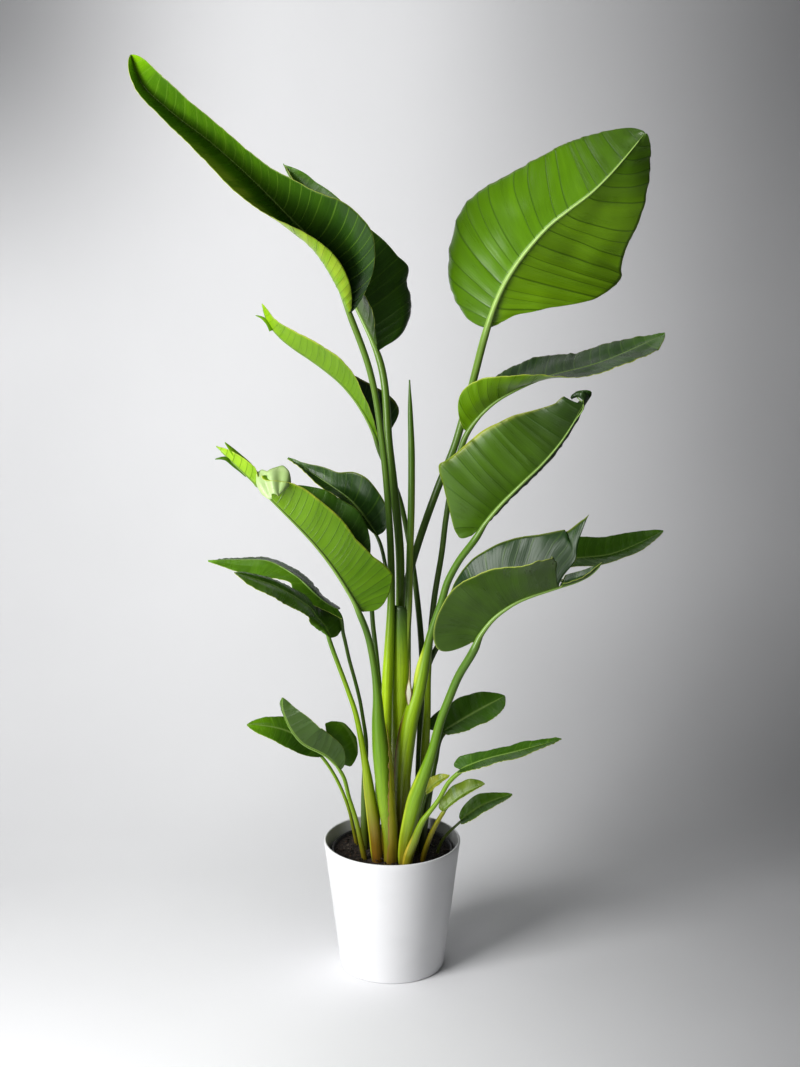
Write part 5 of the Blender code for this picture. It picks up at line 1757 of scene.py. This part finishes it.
class Planter:
    """The white outer pot, the black nursery pot inside it and the soil."""

    TURNS = 128
    # The outer pot.
    RIM_RADIUS, BASE_RADIUS, HEIGHT = 0.125, 0.096, 0.245
    WALL, FLOOR = 0.0045, 0.0060
    FOOT_ROUND, FLOOR_ROUND, FLOOR_EDGE, RIM_DROP = 0.004, 0.004, 0.006, 0.02
    FOOT_WIDTH, FOOT_BEVEL, HOLLOW = 0.012, 0.002, 0.0012
    # The nursery pot, which stands a little above the outer pot's floor.
    GROW_TOP, GROW_TOP_RADIUS, GROW_BASE_RADIUS = 0.228, 0.1085, 0.084
    GROW_WALL, GROW_GAP = 0.0018, 0.0003
    LIP, LIP_HEIGHT, LIP_BEVEL, LIP_SLOPE = 0.0022, 0.008, 0.0006, 0.001
    # The soil: its level at the edge and in the middle, and how deep it is shown.
    SOIL_GAP, SOIL_EDGE, SOIL_CROWN, SOIL_FOOT = 0.0006, 0.222, 0.232, 0.19
    SOIL_SEGMENTS, SOIL_RINGS, RING_WIDTH = 120, 34, 1 / 36
    # Two sizes of crumb, as (height, rate), and how late they die out towards the edge.
    CRUMBS, CRUMB_POWER = ((0.0022, 90.0), (0.0012, 240.0)), 12
    CHIPS, CHIP_SEED, CHIP_SIZES, CHIP_LENGTHS = 420, 11, (0.0011, 0.0036), (1.0, 2.6)
    CHIP_FLATNESS, CHIP_TILT, CHIP_REACH, CHIP_LIFT, BARK_SHARE = 0.5, 0.6, 0.97, 0.1, 0.5

    def spun(self, profile: list[Pair]) -> bmesh.types.BMesh:
        """Spins a profile into a solid.

        Args:
            profile: (radius, height) corners that start and end on the axis.

        Returns:
            The solid's bmesh.
        """
        form = bmesh.new()
        corners = [form.verts.new((radius, 0.0, height)) for radius, height in profile]
        edges = [form.edges.new(pair) for pair in zip(corners, corners[1:])]
        turn = {"cent": (0, 0, 0), "axis": (0, 0, 1), "angle": 2 * pi, "steps": self.TURNS, "use_merge": True}
        bmesh.ops.spin(form, geom=corners + edges, **turn)
        bmesh.ops.remove_doubles(form, verts=form.verts, dist=MERGE)
        bmesh.ops.recalc_face_normals(form, faces=form.faces)
        return form

    def arc(self, x: float, z: float, radius: float, ends: Pair, steps: int) -> list[Pair]:
        """Points of an arc in the profile plane, from one angle to another."""
        angles = [radians(mix(*ends, i / steps)) for i in range(steps + 1)]
        return [(x + radius * cos(a), z + radius * sin(a)) for a in angles]

    def build_outer(self, finish: Material) -> bpy.types.Object:
        """Builds the white tapered pot with a rounded rim.

        Args:
            finish: The pot's material.

        Returns:
            The pot's object.
        """
        rim = self.WALL / 2
        slope = (self.RIM_RADIUS - self.BASE_RADIUS) / self.HEIGHT
        inner = self.BASE_RADIUS + slope * self.FLOOR - self.WALL
        foot = self.BASE_RADIUS - self.FOOT_WIDTH
        profile = [
            (0.0, self.FLOOR),
            (inner - self.FLOOR_EDGE, self.FLOOR),
            *self.arc(inner - self.FLOOR_ROUND, self.FLOOR + self.FLOOR_ROUND, self.FLOOR_ROUND, (-90, 0), 4),
            *self.arc(self.RIM_RADIUS - rim, self.HEIGHT - rim, rim, (180, 0), 10),
            (self.RIM_RADIUS - slope * self.RIM_DROP, self.HEIGHT - self.RIM_DROP),
            *self.arc(self.BASE_RADIUS - self.FOOT_ROUND, self.FOOT_ROUND, self.FOOT_ROUND, (0, -90), 6),
            (foot, 0.0),
            (foot - self.FOOT_BEVEL, self.HOLLOW),
            (0.0, self.HOLLOW),
        ]
        return add_piece("planter", self.spun(profile), [finish], Slot.POT, "pot")

    def build_inner(self, finish: Material) -> bpy.types.Object:
        """Builds the nursery pot with its turned-out lip.

        Args:
            finish: The pot's material.

        Returns:
            The pot's object.
        """
        base, top = self.FLOOR + self.GROW_GAP, self.GROW_TOP
        inner = self.GROW_TOP_RADIUS - self.GROW_WALL
        out = self.GROW_TOP_RADIUS + self.LIP
        low = top - self.LIP_HEIGHT
        neck = mix(self.GROW_BASE_RADIUS, self.GROW_TOP_RADIUS, (low - base) / (top - base))
        profile = [
            (0.0, base + self.GROW_WALL),
            (self.GROW_BASE_RADIUS - self.GROW_WALL, base + self.GROW_WALL),
            (inner, top - self.LIP_SLOPE),
            (inner + self.LIP_SLOPE, top),
            (out - self.LIP_BEVEL, top),
            (out, top - self.LIP_BEVEL),
            (out, low),
            (neck, low),
            (self.GROW_BASE_RADIUS, base),
            (0.0, base),
        ]
        return add_piece("nursery_pot", self.spun(profile), [finish], Slot.PLASTIC, "grow_pot")

    def build_soil(self, finish: Material, bark: Material) -> bpy.types.Object:
        """Builds the potting mix: an uneven mound with crumbs and bark chips on it.

        Args:
            finish: The mix's material.
            bark: The bark chips' material.

        Returns:
            The soil's object.
        """
        edge = self.GROW_TOP_RADIUS - self.GROW_WALL - self.SOIL_GAP
        form = bmesh.new()
        bmesh.ops.create_circle(form, cap_ends=True, segments=self.SOIL_SEGMENTS, radius=edge)
        for _ in range(self.SOIL_RINGS):
            inner = [face for face in form.faces if len(face.verts) > 4]
            bmesh.ops.inset_region(form, faces=inner, thickness=edge * self.RING_WIDTH, use_even_offset=True)
        for vert in form.verts:
            out = vert.co.xy.length / edge
            crumbs = sum(height * noise.noise(vert.co * rate) for height, rate in self.CRUMBS)
            vert.co.z = mix(self.SOIL_CROWN, self.SOIL_EDGE, out**2) + crumbs * (1 - out**self.CRUMB_POWER)
        skirt = bmesh.ops.extrude_edge_only(form, edges=[e for e in form.edges if e.is_boundary])["geom"]
        for vert in skirt:
            if isinstance(vert, bmesh.types.BMVert):
                vert.co.z = self.SOIL_FOOT
        bmesh.ops.holes_fill(form, edges=[e for e in form.edges if e.is_boundary])
        bmesh.ops.recalc_face_normals(form, faces=form.faces)
        rng = random.Random(self.CHIP_SEED)
        for _ in range(self.CHIPS):
            self.add_chip(form, edge, rng)
        return add_piece("potting_mix", form, [finish, bark], Slot.SOIL, "soil")

    def add_chip(self, form: bmesh.types.BMesh, edge: float, rng: random.Random) -> None:
        """Drops one crumb or bark chip on the soil.

        Args:
            form: The soil's bmesh.
            edge: The soil's radius.
            rng: Draws its place, size, turn, tilt, length and finish.
        """
        out = edge * self.CHIP_REACH * rng.random() ** 0.5
        turn = rng.uniform(0, 2 * pi)
        size = rng.uniform(*self.CHIP_SIZES)
        spin, tilt = rng.uniform(0, pi), rng.uniform(-self.CHIP_TILT, self.CHIP_TILT)
        length = rng.uniform(*self.CHIP_LENGTHS)
        level = mix(self.SOIL_CROWN, self.SOIL_EDGE, (out / edge) ** 2)
        centre = Vector((out * cos(turn), out * sin(turn), level + size * self.CHIP_LIFT))
        chip = bmesh.ops.create_cube(form, size=size)["verts"]
        turned = Matrix.Rotation(spin, 3, "Z") @ Matrix.Rotation(-tilt, 3, "Y")
        shaped = turned @ Matrix.Diagonal((length, 1.0, self.CHIP_FLATNESS))
        for vert in chip:
            vert.co = shaped @ vert.co + centre
        for face in dict.fromkeys(face for vert in chip for face in vert.link_faces):
            face.material_index = 1 if rng.random() < self.BARK_SHARE else 0


# ---------------------------------------- stage


class Studio:
    """The sweep with painted shade on its paper, the soft lights and the camera."""

    # The sweep: its half width, where its floor starts, its length, and its wall's place and bend.
    HALF_WIDTH, START, LENGTH, WALL, BEND = 7.0, -5.0, 12.0, 1.35, 0.9
    PAPER = ((0.80, 0.80, 0.81, 1.0), (0.88, 0.88, 0.89, 1.0))
    # The colour that the painted shade darkens the paper towards.
    PAINTED_SHADE_COLOUR = (0.12, 0.12, 0.125, 1.0)
    # Where the paper's painted shade starts and stops: to the right, three times; to the left; up the
    # wall; back along the floor; and down to the foot of the wall. It stands in for the window light
    # falling off towards the sides and the top corners, and for a shadow at the foot of the wall.
    RIGHTS, LEFT, HIGH = ((-0.05, 1.2), (0.0, 0.4), (0.0, 0.35)), (0.25, 1.0), (0.9, 1.8)
    BACK, LOW = (0.3, 0.8), (-0.5, -0.1)
    # How strong the painted shade is: to the right, high on the right, high and just right of the
    # middle, high on the left, to the left, and as a shadow at the foot of the wall on the right.
    PAINTED_SHADE_SHARES = (0.50, 0.14, 0.16, 0.66, 0.13, 0.14)
    CLOUDS = 1.6
    # Name, place, aim, size and power of each soft light.
    LIGHTS = (
        ("window", (-1.60, -1.45, 1.35), (0.05, 0.0, 0.75), (1.1, 1.9), 74.0),
        ("front", (-0.9, -3.0, 1.9), (-0.1, 0.2, 0.7), (0.9, 0.9), 6.0),
        ("top", (-0.3, -0.3, 3.0), (-0.1, 0.0, 0.8), (1.0, 1.0), 9.0),
    )
    SKY, SKY_STRENGTH = (0.93, 0.96, 1.0, 1.0), 0.08
    EYE, DOWN, LENS, SENSOR, FAR = (0.0145, -3.42, 1.68), 14.1, 67.48, 36.0, 60.0
    EXPOSURE, GAMMA = 0.12, 0.90

    def build(self) -> None:
        """Sets up everything that isn't the plant."""
        self.build_sweep()
        for light in self.LIGHTS:
            self.soft_light(*light)
        self.build_surround()
        self.build_camera()

    def sweep_point(self, x: float, run: float) -> Vector:
        """Finds a point of the sweep: on the floor, round the bend or up the wall.

        Args:
            x: Its place across.
            run: The length along the sweep.

        Returns:
            The point.
        """
        start = self.WALL - self.BEND
        arc = self.BEND * pi / 2
        if run < start:
            return Vector((x, run, 0.0))
        if run < start + arc:
            turn = (run - start) / self.BEND
            return Vector((x, start + self.BEND * sin(turn), self.BEND * (1 - cos(turn))))
        return Vector((x, self.WALL, self.BEND + run - start - arc))

    def build_sweep(self) -> None:
        """A pale floor that curves up into a wall, and is clear from behind."""
        form = new_grid(4, 60)
        for vert in form.verts:
            run = (vert.co.y + 1) / 2 * self.LENGTH + self.START
            vert.co = self.sweep_point(vert.co.x * self.HALF_WIDTH, run)
        smooth_mesh("sweep", form, [self.paper()])

    def paper(self) -> Material:
        """Builds the sweep's paper, with painted shade to the right, to the left and in the top corners,
        and a painted shadow at the foot of the wall on the right.

        Returns:
            The finished material.
        """
        made, g, shader = start_material("paper_sweep_painted_shade")
        place = g.place()
        x, y, z = g.split(place)
        # Masks of the painted shade: the light's falloff to the right, to the left and high up, and a painted
        # shadow at the foot of the wall.
        right, near_right, far_right = (g.ramp(x, *limits) for limits in self.RIGHTS)
        left = g.ramp(g.times(x, -1.0), *self.LEFT)
        high = g.ramp(z, *self.HIGH)
        foot = g.times(g.times(g.ramp(y, *self.BACK), far_right), g.ramp(g.times(z, -1.0), *self.LOW))
        masks = (right, g.times(right, high), g.times(near_right, high), g.times(left, high), left, foot)
        # Each mask darkens the paper by its share of painted shade.
        shade = 0.0
        for mask, share in zip(masks, self.PAINTED_SHADE_SHARES):
            shade = g.plus(shade, g.times(mask, share))
        colour = g.blend(shade, g.blend(g.noise(place, self.CLOUDS, 3.0), *self.PAPER), self.PAINTED_SHADE_COLOUR)
        g.feed(shader, {"Base Color": colour, "Roughness": 0.9})
        behind = g.add("NewGeometry").outputs["Backfacing"]
        clear = g.add("BsdfTransparent").outputs[0]
        seen = g.add("MixShader", {0: behind, 1: shader.outputs[0], 2: clear})
        g.feed(made.node_tree.nodes["Material Output"], {"Surface": seen.outputs[0]})
        return made

    def soft_light(self, name: str, place: Point, aim: Point, size: Pair, power: float) -> None:
        """One rectangular soft light.

        Args:
            name: The light's name.
            place: Where it stands.
            aim: The point it faces.
            size: Its width and height.
            power: Its power in watts.
        """
        data = bpy.data.lights.new(name, "AREA")
        data.shape = "RECTANGLE"
        data.size, data.size_y = size
        data.energy = power
        light = bpy.data.objects.new(name, data)
        light.location = place
        light.rotation_euler = (Vector(aim) - Vector(place)).to_track_quat("-Z", "Y").to_euler()
        bpy.context.scene.collection.objects.link(light)

    def build_surround(self) -> None:
        """A dim, even light from all round."""
        world = bpy.data.worlds.new("surround")
        world.use_nodes = True
        inputs = world.node_tree.nodes["Background"].inputs
        inputs["Color"].default_value = self.SKY
        inputs["Strength"].default_value = self.SKY_STRENGTH
        bpy.context.scene.world = world

    def build_camera(self) -> None:
        """The camera, at a standing person's eye height and tipped down a little."""
        scene = bpy.context.scene
        data = bpy.data.cameras.new("camera")
        data.sensor_fit = "AUTO"
        data.sensor_width = self.SENSOR
        data.lens = self.LENS
        data.clip_end = self.FAR
        camera = bpy.data.objects.new("camera", data)
        camera.location = self.EYE
        camera.rotation_euler = (radians(90 - self.DOWN), 0.0, 0.0)
        scene.collection.objects.link(camera)
        scene.camera = camera
        scene.view_settings.view_transform = "Standard"
        scene.view_settings.exposure = self.EXPOSURE
        scene.view_settings.gamma = self.GAMMA


UPPER = BladeFinish(
    name="blade_upper",
    tone="upper_tone",
    stops=(
        (0.0, (0.008, 0.026, 0.010, 1.0)),
        (0.25, (0.022, 0.062, 0.010, 1.0)),
        (0.5, (0.058, 0.150, 0.006, 1.0)),
        (0.75, (0.140, 0.310, 0.005, 1.0)),
        (1.0, (0.310, 0.560, 0.008, 1.0)),
    ),
    vein_colour=(0.170, 0.320, 0.030, 1.0),
    midrib=(0.200, 0.320, 0.060, 1.0),
    margin=(0.300, 0.400, 0.060, 1.0),
    ripe=(0.560, 0.560, 0.060, 1.0),
    vein_share=0.60,
    relief=0.55,
    roughness=0.27,
    gloss=0.32,
    glow=(0.200, 0.420, 0.006, 1.0),
    glow_share=0.08,
)
UNDER = BladeFinish(
    name="blade_under",
    tone="under_tone",
    stops=(
        (0.0, (0.022, 0.048, 0.016, 1.0)),
        (0.25, (0.052, 0.108, 0.010, 1.0)),
        (0.5, (0.105, 0.235, 0.003, 1.0)),
        (0.75, (0.215, 0.410, 0.005, 1.0)),
        (1.0, (0.420, 0.640, 0.020, 1.0)),
    ),
    vein_colour=(0.030, 0.080, 0.004, 1.0),
    midrib=(0.270, 0.420, 0.080, 1.0),
    margin=(0.340, 0.440, 0.060, 1.0),
    ripe=(0.600, 0.600, 0.070, 1.0),
    vein_share=0.66,
    relief=0.6,
    roughness=0.29,
    gloss=0.40,
    glow=(0.240, 0.480, 0.004, 1.0),
    glow_share=0.12,
)
# Pale green: partly the torn curl's own pale underside, partly painted glare.
PALE_AND_GLARE = BladeFinish(
    name="blade_waxy",
    tone="under_tone",
    stops=(
        (0.3, (0.130, 0.260, 0.060, 1.0)),
        (0.5, (0.300, 0.440, 0.140, 1.0)),
        (0.75, (0.520, 0.660, 0.330, 1.0)),
    ),
    vein_colour=(0.300, 0.430, 0.160, 1.0),
    midrib=(0.400, 0.520, 0.220, 1.0),
    margin=(0.600, 0.680, 0.400, 1.0),
    ripe=(0.600, 0.600, 0.070, 1.0),
    vein_share=0.3,
    relief=0.6,
    roughness=0.32,
    gloss=0.50,
    glow=(0.420, 0.560, 0.200, 1.0),
    glow_share=0.10,
)
STEM_FINISH = StemFinish("stem_skin", 0.32, 0.25, (0.02, 0.05, 0.005, 1.0), (0.16, 0.22, 0.02, 1.0))
EDGE_FINISH = PlainFinish("blade_edge", (0.40, 0.46, 0.08, 1.0), (0.30, 0.38, 0.05, 1.0), 0.5, 200.0, 0.1)
POT_FINISH = PlainFinish("satin_white", (0.74, 0.74, 0.75, 1.0), (0.71, 0.71, 0.72, 1.0), 0.34, 220.0, 0.05)
PLASTIC_FINISH = PlainFinish(
    "nursery_black", (0.018, 0.018, 0.019, 1.0), (0.035, 0.033, 0.030, 1.0), 0.5, 300.0, 0.2
)
SOIL_FINISH = SoilFinish("damp_mix", (0.012, 0.008, 0.006, 1.0), (0.060, 0.040, 0.028, 1.0))
BARK_FINISH = SoilFinish("bark_chip", (0.030, 0.017, 0.010, 1.0), (0.130, 0.075, 0.045, 1.0))


class Plant:
    """The whole plant: every leaf, the spear, the sheaths, the flaps and the planter."""

    def build(self) -> None:
        """Builds every piece in order."""
        veins = make_group("blade veins", ("Midrib Width",), wire_veins)
        wear = make_group("wear", ("Grain",), wire_wear)
        crumbs = make_group("crumbs", (), wire_crumbs)
        upper, under, pale_and_glare = (finish.material(veins) for finish in (UPPER, UNDER, PALE_AND_GLARE))
        edge = EDGE_FINISH.material(wear)
        sides = [upper, under, edge]
        stem = STEM_FINISH.material()
        for seed, leaf in enumerate(LEAVES, start=1):
            blade = LeafBlade(leaf, seed)
            blade.build(sides)
            LeafStem(leaf, blade.form).build(stem)
        Spear().build(stem)
        for sheath in SHEATHS:
            sheath.build(stem)
        for flap in FLAPS:
            # The flaps marked so take the pale finish with painted glare on both sides.
            flap.build([pale_and_glare, pale_and_glare, edge] if flap.pale_and_glare else sides)
        planter = Planter()
        planter.build_outer(POT_FINISH.material(wear))
        planter.build_inner(PLASTIC_FINISH.material(wear))
        planter.build_soil(SOIL_FINISH.material(crumbs), BARK_FINISH.material(crumbs))


def main() -> None:
    """Builds the plant and the studio."""
    logging.basicConfig(level=logging.INFO, format="%(name)s %(message)s")
    Plant().build()
    Studio().build()


if __name__ == "__main__":
    main()
